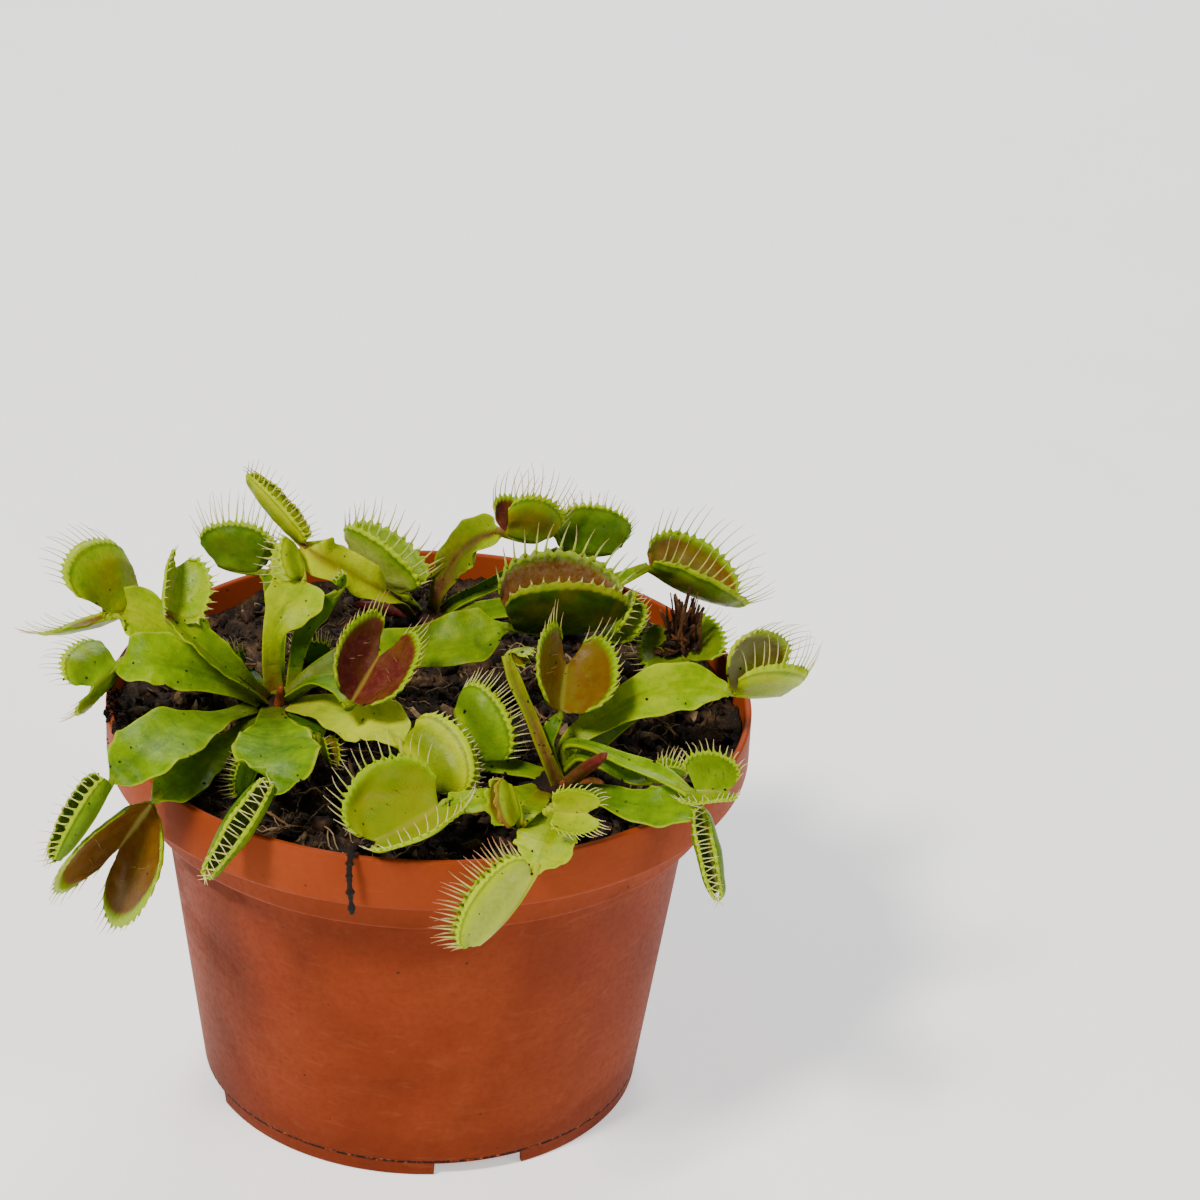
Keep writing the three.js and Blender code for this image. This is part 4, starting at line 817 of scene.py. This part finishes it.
def leafSkin(name, part):
    # Living leaf: part is blade, outside or inside of a trap, or tooth. The attributes say how
    # yellow, red and pale the leaf is (hue), and how rosy, pink and dark this spot is (mark), where
    # dark is a painted shade. share goes from the midrib or hinge to the margin, and on a tooth from
    # its foot to its tip.
    material, at = newMaterial(name)
    across, along, share = attribute(material, "place")
    tint, blush, pale = attribute(material, "hue")
    rosy, pink, dark = attribute(material, "mark")
    cloud = node("grain", at, 0.13 / mm, 4, 0.6, 0.3)
    fine = node("grain", at, 1.1 / mm, 4, 0.62)
    patches = node("plus", node("times", cloud, 0.6),
                   node("times", node("grain", at, 0.5 / mm, 3, 0.55), 0.4))
    swing = node("minus", patches, 0.5)
    bumps = []
    if part == "tooth":
        base = layered(
            node("ramp", share,
                 stops=[(0, "#84a010"), (0.16, "#a9b64a"), (0.5, "#cdc98a"), (1, "#cdb184")]),
            (node("times", pink, node("between", share, 0.1, 0.9, 0.15, 1)), "#9a3e44"),
            # dark paints shade on the teeth; where darkTeeth is set it is their own dark red
            (node("times", dark, node("between", share, 0.15, 0.9, 0.1, 0.9)), "#5a2c26"),
            (node("between", fine, 0.55, 0.8, 0, 0.15), "#8a8a3c"))
    else:
        # veins: from the midrib out to the margin, on the blade a little forward
        forward, perVein = (0.5, 5.2) if part == "blade" else (0.0, 7.5)
        run = node("minus", along, node("times", node("amount", across), forward))
        phase = node("times", node("plus", run, node("times", swing, 4.0)), perVein)
        vein = node("power", node("amount", node("sine", phase)), 4.0)
        vein = node("times", vein,
                    node("times", node("between", share, 0.02, 0.2),
                         node("between", node("grain", at, 0.3 / mm, 2, 0.55), 0.4, 0.62)))
        base = layered(
            node("ramp", node("plus", tint, node("times", swing, 0.95), use_clamp=True),
                 stops=[(0, "#1c3a00"), (0.35, "#446a00"), (0.65, "#789a00"), (1, "#b2bd00")]),
            (node("times", node("between", node("grain", at, 1.5 / mm, 2, 0.5), 0.6, 0.72), 0.24),
             "#35560a"))
    if part == "blade":
        # lengthwise streaks, closer together and darker beside the midrib
        lines = node("joined", node("times", across, 0.5), node("times", along, 0.07), tint)
        streak = node("grain", lines, 1.3, 4, 0.6)
        # painted shade darker and bluer near the crown, yellower to the tip and along a thin margin
        base = layered(
            base,
            (node("between", along, 6, 26, 0.42, 0), "#2f5602"),
            (node("times", node("between", share, 0.88, 0.98), 0.5), "#aab40c"),
            (node("between", share, 0, 0.2, 0.16, 0), "#3d5f04"),
            (node("times", node("between", streak, 0.48, 0.68),
                  node("between", share, 0.1, 0.85, 0.38, 0.08)), "#3a5c02"),
            (node("between", streak, 0.48, 0.3, 0, 0.12), "#aebd10"),
            (node("times", vein, 0.06), "#9db51c"))
        bumps += [(streak, 0.03)]
    if part == "outside":
        # painted shade darker in the middle, a groove and a yellow bead along the margin, a brownish keel
        middle = node("times", node("between", share, 0.12, 0.4), node("between", share, 0.9, 0.55))
        groove = node("times", node("between", share, 0.82, 0.88), node("between", share, 0.92, 0.89))
        shadow = layered(colour("#3c5e04"), (blush, "#5c4a04"))
        base = layered(
            base,
            (node("times", middle, node("between", cloud, 0.3, 0.65, 0.35, 0.7)), shadow),
            (node("times", groove, 0.45), "#2c4a02"),
            (node("times", node("between", share, 0.89, 0.94), 0.75), "#a9be0c"),
            (node("between", share, 0, 0.16, 0.4, 0), "#8a8c2a"),
            (node("times", vein, 0.06), "#2f4a05"),
            (node("times", blush, node("between", cloud, 0.45, 0.7, 0, 0.45)), "#84500c"))
        bumps += [(vein, 0.014)]
    if part == "inside":
        # red flesh in patches, a pale bloom, a yellow rim and rib, and dots for the glands
        spread = node("times", node("between", share, 0.95, 0.8),
                      node("between", share, 0, 0.12, 0.6, 1))
        patch = node("plus", 0.82, node("times", swing, 1.3))
        red = node("times", node("times", blush, spread), patch, use_clamp=True)
        flesh = node("ramp", red,
                     stops=[(0, "#8c9a08"), (0.25, "#706a03"), (0.45, "#6a4c05"), (0.65, "#5a350c"),
                            (0.85, "#571d18"), (1, "#4a151a")])
        bloom = node("times", node("times", blush, pale, use_clamp=True),
                     node("between", share, 0.5, 0.95))
        gland = node("cells", at, 3.6 / mm)
        dot = node("times", node("between", gland, 0, 0.35, 1, 0), node("between", share, 0.95, 0.8))
        base = layered(
            base,
            (node("times", red, 2.4, use_clamp=True), flesh),
            (node("times", node("between", share, 0.9, 0.96), 0.7), "#93ab08"),
            (node("times", red,
                  node("between", node("grain", at, 0.9 / mm, 5, 0.7, 1.0), 0.42, 0.7, 0, 0.38)),
             "#8c5540"),
            (node("times", bloom, node("between", fine, 0.35, 0.65)), "#c9b59c"),
            (node("between", share, 0, 0.09, 0.6, 0), "#94803a"),
            (node("times", vein, 0.1), "#3f2c08"),
            (node("times", node("times", dot, blush), 0.4), "#5c1c14"))
        bumps += [(vein, 0.02), (dot, 0.02)]
    if part in ("blade", "outside"):
        # whitish skin, red stalk and rib, painted shade in patches and specks of dirt
        whitish = pale
        if part == "outside":
            whitish = node("times", node("between", pale, 0.3, 0.8, 0, 0.85),
                           node("between", share, 0.93, 0.55))
            whitish = node("times", whitish, node("between", fine, 0.3, 0.6, 0.6, 1))
        reds = layered(
            node("ramp", fine, stops=[(0.35, "#6a2c18"), (0.7, "#92482c")]),
            (node("between", pink, 0.1, 0.8),
             node("ramp", fine, stops=[(0.35, "#47101a"), (0.7, "#742630")])))
        base = layered(
            base,
            (whitish, node("ramp", cloud, stops=[(0.3, "#96a23c"), (0.7, "#b4ba58")])),
            (node("times", rosy, node("between", cloud, 0.3, 0.6, 0.65, 1)), reds),
            (node("times", dark, node("between", cloud, 0.25, 0.75, 0.9, 0.35)), "#1c2c04"),
            (node("times", specksIn(at, 0.52, node("grain", at, 0.21 / mm, 2, 0.5), 0.5, 0.72, 0.13),
                  0.8), "#1f1a0c"))
        bumps += [(cloud, 0.25), (node("grain", at, 0.6 / mm, 3, 0.55), 0.1), (fine, 0.11)]
    return finishMaterial(material, base, bumps,
                          {"Roughness": node("between", fine, 0.3, 0.7, 0.3, 0.44),
                           "Specular IOR Level": 0.07 if part == "blade" else 0.1,
                           "Subsurface Weight": 0.45 if part == "tooth" else 0.25,
                           "Subsurface Radius": (0.6, 1, 0.25), "Subsurface Scale": 0.0011})


def shareAt(rows, centre, radius):
    # where the midrib comes out of a ball round the crown
    t = np.arange(0, 1, 0.002)
    far = np.linalg.norm(onRows(rows, t)[:, :3] - centre, axis=1) >= radius
    return float(t[np.argmax(far)]) if far.any() else 1.0


def bladeBit(leaf, start, end, rows, seed, lap, first):
    # The blade from start to end along the leaf. A point at the share u of the half width h is
    #   midrib + side h u cos(fold) + up h (|u| sin(fold) + wave u^2 sin(waves t + 2 u)),
    # with a finer ripple and notches at the margin and a rounded channel over the midrib.
    form, r = leafForm, np.random.default_rng(seed)
    t = np.linspace(start, end, rows)
    u = np.sin(np.linspace(-1, 1, form["bladeColumns"]) * np.pi / 2)[None]
    row = onRows(leaf["rows"], t)
    ahead = onRows(leaf["rows"], np.minimum(t + 0.01, 1))
    behind = onRows(leaf["rows"], np.maximum(t - 0.01, 0))
    run = unit((ahead - behind)[:, :3])
    side = unit(np.cross(run, leaf["face"]))
    rise = np.cross(side, run)
    h = np.maximum(row[:, 3:], form["neckWidth"]) / 2
    fold = math.radians(leaf["fold"])
    b, tt = np.abs(u), t[:, None]
    turn = 2 * np.pi * tt
    bend = np.sqrt(b ** 2 + 0.02) - math.sqrt(0.02)
    wave = form["wave"] * b ** 2 * np.sin(form["waves"] * turn + 2 * u)
    ripple = form["ripple"] * b ** 4 * np.sin(form["ripples"] * turn + r.uniform(0, 6) + 2.5 * np.sign(u))
    wing = smooth(form["wavyFrom"], form["wavyTo"], h)
    notch = form["notch"] * wing * np.sin(form["notches"] * turn + r.uniform(0, 6) + np.sign(u)) * b ** 3
    wide = h * u * math.cos(fold) * (1 + notch)
    lift = h * (bend * math.sin(fold) + wave + ripple * wing)
    ribHeight, ribWidth = form["midrib"]
    rib = ribHeight * np.exp(-(h * b / ribWidth) ** 2)
    lift = lift - form["channel"] * rib
    middle = row[:, None, :3] + side[:, None] * wide[..., None] + rise[:, None] * lift[..., None]
    thick = (form["blade"] + rib) * np.sqrt(np.clip(1 - 0.9 * b ** 6, 0.02, 1))
    # the crown's piece and the leaf's own lap over each other: one thins out while the other grows
    fade = smooth(lap, lap + form["lapLength"], tt)
    thick = thick * (form["lapThin"] + (1 - form["lapThin"]) * (1 - fade if first else fade))
    fineT = np.linspace(0, 1, 200)
    steps = np.linalg.norm(np.diff(onRows(leaf["rows"], fineT)[:, :3], axis=0), axis=1)
    along = np.interp(tt, fineT, np.concatenate([[0], np.cumsum(steps)]))
    # rosy at the base, where the neck is red and along a red rib
    base = leaf["rosy"] * smooth(leaf["rosyTo"], 0.0, tt) ** 1.3
    neck = leaf.get("neck", 0.25 * leaf["rosy"]) * smooth(0.9, 1.0, tt)
    red = np.maximum(np.maximum(base, neck) * (1 - 0.45 * b ** 2), leaf["ribRosy"] * smooth(0.5, 0.05, b))
    return sheetBit(middle, thick / 2, (0, 0, 0), place=stacked(h * u, along, b),
                    mark=stacked(red, leaf["pink"], leaf["dark"]))


def trapFrame(leaf):
    # which way the trap's hinge runs, which way its mouth looks, and its side
    along = unit(leaf["hinge"])
    mouth = np.array(leaf["mouth"], float)
    mouth = unit(mouth - along * mouth.dot(along))
    return along, mouth, np.cross(along, mouth)


def lobeWay(leaf, s, side, angle):
    # which way a lobe goes at s along the hinge, at an angle away from the mouth's direction; it
    # leans out along the hinge by the sweep and the fan
    along, mouth, wide = trapFrame(leaf)
    lean = np.radians(leaf["sweep"] + leafForm["fan"] * (2 * s - 1))[..., None]
    a = np.asarray(angle)[..., None]
    out = mouth * np.cos(a) + wide * np.sin(a) * np.asarray(side)[..., None]
    return out * np.cos(lean) + along * np.sin(lean)


def onHinge(leaf, s):
    # the lobes start a neck's length along the hinge
    first = leafForm["neckLength"] / leaf["length"]
    return first + (1 - first) * s


def trapPoint(leaf, s, share):
    # A point of the trap, at s along the hinge and at the share -1 to 1 across both lobes:
    #   hinge point + way at (gape + cup) / 2 - cup b / 2, times depth b sin(c) / c, c = cup b / 2,
    # where the depth swells to its full value in the middle of the hinge and rounds off at its ends
    along, mouth, wide = trapFrame(leaf)
    b, gape, cup = np.abs(share), math.radians(leaf["gape"]), math.radians(leaf["cup"])
    chord = cup * b / 2
    real = onHinge(leaf, s)
    swell = np.maximum(np.sin(np.pi * real), 0) ** leafForm["roundness"]
    end = leaf["ends"][0] * (1 - real) + leaf["ends"][1] * real
    depth = leaf["depth"] * (end + (1 - end) * swell) * (1 - 0.3 * np.abs(2 * s - 1) ** 8 * b)
    reach = depth * b * np.sinc(chord / np.pi)
    sag = leafForm["arch"] * leaf["length"] * 4 * real * (1 - real)
    hinge = leaf["rows"][-1][:3] + along * (leaf["length"] * real)[..., None] - mouth * sag[..., None]
    return hinge + lobeWay(leaf, real, np.sign(share), (gape + cup) / 2 - chord) * reach[..., None]


def shellBit(leaf, seed, size):
    # both lobes as one sheet; its margin swells a little at the foot of every tooth
    form = leafForm
    s = 0.5 - 0.5 * np.cos(np.linspace(0, 1, form["lobeRows"]) * np.pi)
    b = np.linspace(0, 1, form["lobeColumns"]) ** 0.9
    s, u = np.broadcast_arrays(s[:, None], np.concatenate([-b[:0:-1], b]))
    b = np.abs(u)
    foot = np.cos(2 * np.pi * (s * leaf["teeth"] - 0.5 - 0.5 * (u > 0)))
    margin = 1 + form["footSwell"] * size / leaf["depth"] * smooth(0.8, 1.0, b) * foot
    hingeLine = trapPoint(leaf, s, 0 * u)
    middle = hingeLine + (trapPoint(leaf, s, u) - hingeLine) * margin[..., None]
    at = stacked(s * leaf["length"], u * leaf["depth"])
    wobble = form["wobble"] * size * lumps(at, form["wobbleSize"], seed, 12)
    normal = unit(np.cross(np.gradient(middle, axis=0), np.gradient(middle, axis=1)))
    middle = middle + normal * (wobble * smooth(0.05, 0.4, b))[..., None]
    thick = form["lobe"]
    for middleAt, (high, width) in ((0, form["hingeRib"]), (form["beadAt"], form["rimBead"])):
        thick = thick + high * np.exp(-((b - middleAt) / width) ** 2)
    edge = np.minimum(smooth(1.02, 0.95, b), smooth(-0.01, 0.03, np.minimum(s, 1 - s))) * 0.8 + 0.2
    mark = stacked(leaf["rimRosy"] * smooth(0.72, 0.95, b), leaf["pink"], leaf["dark"])
    tint, pale = leaf.get("trapTint", leaf["tint"]), leaf.get("trapPale", leaf["pale"])
    return {**sheetBit(middle, thick * edge * size / 2, (1, 2, 1), mark=mark,
                       place=stacked(u * leaf["depth"], s * leaf["length"], b)),
            "hue": np.array([tint, leaf["blush"], pale])}


def keelBit(leaf, size):
    # the joint: from the neck into the keel, which runs on along the outside of the hinge
    along, mouth, wide = trapFrame(leaf)
    back = onRows(leaf["rows"], np.array([0.93, 0.985]))[:, :3]
    keelAt = trapPoint(leaf, np.array([0.03, 0.2, 0.45, 0.7, 0.93]), np.zeros(5)) - mouth * 0.16 * size
    f = np.linspace(0, 1, 26)
    path = onRows(np.vstack([back, keelAt]), f)
    radius = (0.82 - 0.45 * smooth(0.1, 0.5, f) - 0.2 * smooth(0.5, 1.0, f)) * (0.55 + 0.45 * size)
    red = leaf.get("neck", 0.25 * leaf["rosy"]) * smooth(0.5, 0.1, f)
    return tubeBit(path[None], radius[None], 10, mouth + 0.3 * wide, 1,
                   place=stacked(0, f * leaf["length"], 0.05)[None],
                   mark=stacked(red, leaf["pink"], leaf["dark"])[None])


def toothBit(leaf, seed, size):
    # Teeth along both margins. From its foot on the margin a tooth runs on in the lobe's own
    # direction and bends in over the mouth; it is wide at the foot and tapers to a fine tip.
    form, r = leafForm, np.random.default_rng(seed)
    along, mouth, wide = trapFrame(leaf)
    count = leaf["teeth"]
    side = np.repeat([-1.0, 1.0], count)
    s = (np.tile(np.arange(count), 2) + 0.5 + 0.5 * (side > 0)) / count
    s = np.clip(s + r.normal(0, 0.1, 2 * count) / count, 0.006, 0.994)
    foot = trapPoint(leaf, s, side)
    length = leaf["tooth"] * (1 - 0.42 * np.abs(2 * s - 1) ** 3)
    length = length * r.uniform(*form["toothLengths"], 2 * count)
    length = length * np.where(side > 0, leaf["rightTeeth"], leaf["leftTeeth"])
    length = (length * (leaf["tipTeeth"] + (1 - leaf["tipTeeth"]) * smooth(0.5, 0.9, s)))[:, None]
    f = np.array([-0.1, 0.0, 0.06, 0.14, 0.26, 0.42, 0.6, 0.78, 0.92, 1.0])
    out = np.clip(f, 0, 1)
    lean = math.radians(form["lean"])
    start = math.radians(leaf["gape"] - leaf["cup"]) / 2 + 0.5 * lean
    angle = start - lean * 1.9 * r.uniform(*form["toothBends"], (2 * count, 1)) * out
    twist = np.radians(r.normal(0, form["toothTurn"], (2 * count, 1))) * out
    way = lobeWay(leaf, onHinge(leaf, s)[:, None] + 0 * f, side[:, None] + 0 * f, angle)
    way = unit(way + along * twist[..., None])
    path = foot[:, None] + way * (f * length)[..., None]
    taper = 0.64 * leaf["root"] * (1 - out) ** 0.9 + 0.03
    flare = np.exp(-out * length / (0.28 * size + 0.1))
    broad = taper + max(leaf["length"] / count * 0.36 - leaf["root"], 0.05) * flare
    bit = tubeBit(path, stacked(broad, taper * 0.85), form["toothSides"], unit(np.cross(way, along)), 3,
                  place=stacked(0, f * length, out))
    return {**bit, "mark": np.array([0.0, leaf["pink"], leaf.get("darkTeeth", leaf["dark"])])}


def hairBit(leaf, size):
    # three trigger hairs on the inside of each lobe
    s, share = np.tile(np.transpose(leafForm["hairs"]), 2)
    share = share * np.repeat([-1.0, 1.0], 3)
    length, radius = leafForm["hair"]
    along, mouth, wide = trapFrame(leaf)
    foot = trapPoint(leaf, s, share)
    ahead, beside = trapPoint(leaf, s + 0.01, share), trapPoint(leaf, s, share + 0.01)
    inward = unit(np.cross(ahead - foot, beside - foot))
    inward = (inward * np.where((inward @ mouth) < 0, -1, 1)[:, None])[:, None]
    f = np.linspace(0, 1, 5)
    path = foot[:, None] + inward * (f * length * size)[:, None] + mouth * (0.4 * size * f ** 2)[:, None]
    thick = np.tile(radius * size * (1 - 0.85 * f), (len(s), 1))
    place = np.tile(stacked(0, f, 0.5 + 0.5 * f), (len(s), 1, 1))
    return {**tubeBit(path, thick, 5, along, 3, place=place), "mark": np.array([0.0, 0.3, 0.8])}


def crownBits(plant, centre, number):
    # the dome in the soil, which is dented by noise, and the stubs of dead stalks
    dome, quads, caps = ballShape(30, 60)
    dent = 1 + 0.06 * lumps(dome, 0.9, number) + 0.05 * lumps(dome * [1, 1, 0.2], 0.25, number)
    points = dome * dent[:, None] * leafForm["dome"] + centre - up * leafForm["domeSunk"]
    bits = [{"points": points, "faces": [(quads, 4), (caps, 4)],
             "hue": np.array([0.2, 0.3, 0.0]), "mark": np.array([0.8, 0.5, 0.8]),
             "place": stacked(dome[:, 0], dome[:, 1] * 6, 0.5)}]
    f = np.linspace(0, 1, 12)
    for a, b, radius, pink in crownStubs[plant]:
        path = a + (np.array(b, float) - a) * f[:, None] + 0.3 * np.sin(5 * f)[:, None]
        thick = radius * (1 - 0.25 * f) * np.sqrt(np.clip(1.02 - f ** 8, 0, 1))
        bit = tubeBit(path[None], thick[None], 12, np.array([1.0, 0.2, 0.0]), 0,
                      place=stacked(0, f * 8, 0.5)[None])
        bits.append({**bit, "hue": np.array([0.3, 0.8, 0.0]), "mark": np.array([1.0, pink, 0.2])})
    return bits


skins = [leafSkin("leafBladeSkin", "blade"), leafSkin("trapOutsideSkin", "outside"),
         leafSkin("trapInsideSkin", "inside"), leafSkin("toothSkin", "tooth")]
oldBases = barkMaterial("oldLeafBases", "#120a05", "#33200f", "#6a4a29", 0.7)
leafTraits = {"hue": np.array([0.6, 0.1, 0.0]), "mark": np.zeros(3)}
number = 0
speckAt = []
for plant, group in leaves.items():
    centre = np.array(crownCentres[plant], float)
    bases = []
    for name, leaf in group.items():
        number += 1
        seed = 100 + number
        size = min(1.0, leaf["depth"] / leafForm["fullSize"])
        start = shareAt(leaf["rows"], centre, leafForm["crownRadius"] + leafForm["crownLap"])
        hue = {"hue": np.array([leaf["tint"], leaf["blush"], leaf["pale"]])}
        bits = [bladeBit(leaf, start, 1.0, leafForm["bladeRows"], seed, start, False),
                shellBit(leaf, seed + 100, size), keelBit(leaf, size),
                toothBit(leaf, seed + 101, size), hairBit(leaf, size)]
        for bit, tries in zip(bits, leafForm["speckTries"]):
            # a few of the points on the upper side, for specks of peat
            half = len(bit["points"]) // 2
            pair = bit["points"].reshape(2, half, 3)
            pick = rng.integers(0, half, tries)
            speckAt.append(np.where(pair[0, pick, 2:] > pair[1, pick, 2:], pair[0, pick], pair[1, pick]))
        solid = "leaf_" + plant + "_" + name
        piece = makePiece("grown_" + solid, [{**hue, **bit} for bit in bits], skins, leafTraits)
        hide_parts(solid)
        end = min(start + leafForm["lapLength"], 1.0)
        bases.append({**bladeBit(leaf, 0.0, end, leafForm["baseRows"], seed, start, True), **hue})
    bases += crownBits(plant, centre, number)
    crownPiece = makePiece("grown_crown_" + plant, bases, skins + [oldBases], leafTraits)
    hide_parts("crown_" + plant)
print(number, "leaves done")

# Bits of dead matter: specks of peat on the leaves, peat spilled over the rim, a withered
# tuft in one trap, and a dark hair over another
debris = {
    "rimCrumbs": 170, "rimTurn": (178, 206), "rimRadii": (57.2, 60.15), "onRim": 58.7, "overRim": 60.05,
    "insideZ": (75, 78.6), "outsideZ": (74, 79), "seed": 83,
    "shreds": 44, "shredSizes": ((0.9, 0.4, 0.12), (2.3, 1.1, 0.35)),
    "threads": 30, "threadRadii": (0.2, 0.75), "hairRadius": 0.13,
}


def rimPeatBit(p):
    # crumbs on the soil beside the rim, on top of it and down its outside
    r, count = np.random.default_rng(p["seed"]), p["rimCrumbs"]
    a = np.radians(r.uniform(*p["rimTurn"], count))
    out = r.uniform(*p["rimRadii"], count)
    size = 0.15 + 0.6 * r.random(count) ** 2
    z = np.where(out > p["onRim"], pot["height"] + 0.15 * size, r.uniform(*p["insideZ"], count))
    z = np.where(out > p["overRim"], r.uniform(*p["outsideZ"], count), z)
    centres = stacked(out * np.cos(a), out * np.sin(a), z)
    return crumbBit(centres, size[:, None] * r.uniform(0.5, 1.1, (count, 3)), p["seed"])


def witheredBits(leaf, p):
    # shreds and threads in a trap: each starts at a point between its lobes and stands up out of it
    r, shreds, threads = np.random.default_rng(p["seed"] + 1), p["shreds"], p["threads"]
    along, mouth, wide = trapFrame(leaf)
    low = trapPoint(leaf, r.uniform(0.1, 0.9, shreds), r.normal(0, 0.25, shreds))
    rise = r.uniform(0.1, 0.6, shreds) * leaf["depth"]
    sizes = r.uniform(*p["shredSizes"], (shreds, 3))
    shredBit = crumbBit(low + mouth * rise[:, None] * 0.7, sizes, p["seed"] + 2)
    foot = trapPoint(leaf, r.uniform(0.25, 0.8, threads), r.normal(0, 0.14, threads))
    f = np.linspace(0, 1, 9)
    way = unit(0.4 * mouth + up + 0.16 * r.normal(size=(threads, 3)))
    bend = r.normal(size=(threads, 1, 3)) * (f ** 2 * 0.9)[None, :, None]
    path = foot[:, None] + way[:, None] * (f * leaf["depth"] * 1.15)[None, :, None] + bend
    thick = r.uniform(*p["threadRadii"], (threads, 1)) * (1 - 0.5 * f)
    tone = r.uniform(-0.4, 0.6, (threads, 1)) + 0 * f
    return [shredBit, tubeBit(path, thick, 5, along, 0, place=stacked(tone, 0, 0))]


def hairLineBit(leaf, p):
    # a dark hair across the outside of a lobe, a little off the surface
    f = np.linspace(0, 1, 14)
    along, mouth, wide = trapFrame(leaf)
    path = trapPoint(leaf, 0.04 + 0.9 * f, -0.95 + 0.4 * f)
    path = path + unit(mouth - wide) * (0.25 + 0.5 * np.sin(np.pi * f))[:, None]
    return tubeBit(path[None], p["hairRadius"] + 0 * f[None], 5, mouth, 0)


specks = np.concatenate(speckAt)
speckSizes = rng.uniform(0.1, 0.34, (len(specks), 1)) * rng.uniform(0.5, 1.1, (len(specks), 3))
speckPiece = makePiece("peat_specks", [crumbBit(specks, speckSizes, 91), rimPeatBit(debris)], [crumb])
deadTissue = barkMaterial("witheredLeaf", "#140a05", "#452812", "#80542a", 1.0)
deadPiece = makePiece("withered_tuft", witheredBits(leaves["right"]["rear"], debris), [deadTissue])
hairPiece = makePiece("dark_hair", [hairLineBit(leaves["right"]["mid"], debris)], [crumb])
print("debris done,", len(specks), "specks")

twig = {
    "points": [[-11, -50, 75.2], [-12.5, -56.5, 79.8], [-13, -60, 80.2], [-13.2, -61.8, 77],
               [-12.6, -61.9, 69.5]],
    "radius": 0.7, "knotLength": 0.018,
    "knots": ((0.2, 0.4), (0.5, 0.35), (0.62, 0.6), (0.75, 0.25), (0.86, 0.55), (0.97, 0.4)),
}


def twigBit(p):
    # a rod along a smooth curve, thinner to the hanging end, with small knots
    f = np.linspace(0, 1, 60)
    knots = sum(high * np.exp(-((f - place) / p["knotLength"]) ** 2) for place, high in p["knots"])
    radius = p["radius"] * (0.9 - 0.3 * f + knots + 0.12 * lumps(f[:, None], 0.1, 3))
    return tubeBit(onRows(p["points"], f)[None], radius[None], 14, np.array([1.0, 0.1, 0.0]), 0)


twigWood = barkMaterial("weatheredTwig", "#0c0704", "#23160d", "#57402c", 1.2)
twigPiece = makePiece("dead_twig", [twigBit(twig)], [twigWood])
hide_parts("twig")
print("twig done")

# a pale paper floor, a pale world and three soft lamps; from here on in metres
floorHalf = 3
floorMesh = bpy.data.meshes.new("floor")
floorMesh.from_pydata([(x * floorHalf, y * floorHalf, 0) for x, y in ((-1, -1), (1, -1), (1, 1), (-1, 1))],
                      [], [(0, 1, 2, 3)])
paper, paperAt = newMaterial("palePaper")
paperTone = node("ramp", node("grain", paperAt, 0.02 / mm, 3, 0.55),
                 stops=[(0.3, "#f7f7f6"), (0.7, "#fbfbfa")])
finishMaterial(paper, paperTone, [], {"Roughness": 0.95, "Specular IOR Level": 0.1,
                                      "Emission Color": (1, 1, 1, 1), "Emission Strength": 0.6})
floorMesh.materials.append(paper)
floor = bpy.data.objects.new("floor", floorMesh)
bpy.context.scene.collection.objects.link(floor)

world = bpy.data.worlds.new("paleRoom")
world.use_nodes = True
background = world.node_tree.nodes["Background"]
background.inputs[0].default_value = colour("#fbfbfb")
background.inputs[1].default_value = 0.17
bpy.context.scene.world = world


def placed(right, top, back, at):
    # a matrix with these three directions as its columns, at this point
    return Matrix([[right[k], top[k], back[k], at[k]] for k in range(3)] + [[0, 0, 0, 1]])


def softLight(name, at, aim, size, power, tone):
    data = bpy.data.lights.new(name, "AREA")
    data.shape, data.size, data.energy, data.color = "DISK", size, power, colour(tone)[:3]
    light = bpy.data.objects.new(name, data)
    away = unit(np.array(at) - np.array(aim))
    side = unit(np.cross(up, away))
    light.matrix_world = placed(side, np.cross(away, side), away, at)
    bpy.context.scene.collection.objects.link(light)


softLight("keyLight", (-0.45, -0.55, 1.0), (0, 0, 0.06), 0.22, 19.0, "#fff8ee")
softLight("fillLight", (0.9, -0.5, 0.6), (0, 0, 0.05), 0.5, 4.0, "#f6f8ff")
softLight("backLight", (0.1, 0.9, 0.8), (0, 0, 0.08), 0.5, 8.0, "#ffffff")

# the camera looks 27.6 degrees down and is turned a little; units are metres and radians
view = {"at": (0, -0.7, 0.4661), "yaw": 0.0440, "pitch": 0.4814, "roll": 0.0464, "lens": 128.76,
        "sensor": 36.0, "near": 0.05, "far": 20.0}
level = np.array([math.cos(view["yaw"]), -math.sin(view["yaw"]), 0.0])
ahead = np.cross(up, level) * math.cos(view["pitch"]) - up * math.sin(view["pitch"])
right = level * math.cos(view["roll"]) + np.cross(level, ahead) * math.sin(view["roll"])
cameraData = bpy.data.cameras.new("camera")
cameraData.lens, cameraData.sensor_width, cameraData.sensor_fit = view["lens"], view["sensor"], "HORIZONTAL"
cameraData.clip_start, cameraData.clip_end = view["near"], view["far"]
camera = bpy.data.objects.new("camera", cameraData)
camera.matrix_world = placed(right, np.cross(right, ahead), -ahead, view["at"])
bpy.context.scene.collection.objects.link(camera)
bpy.context.scene.camera = camera
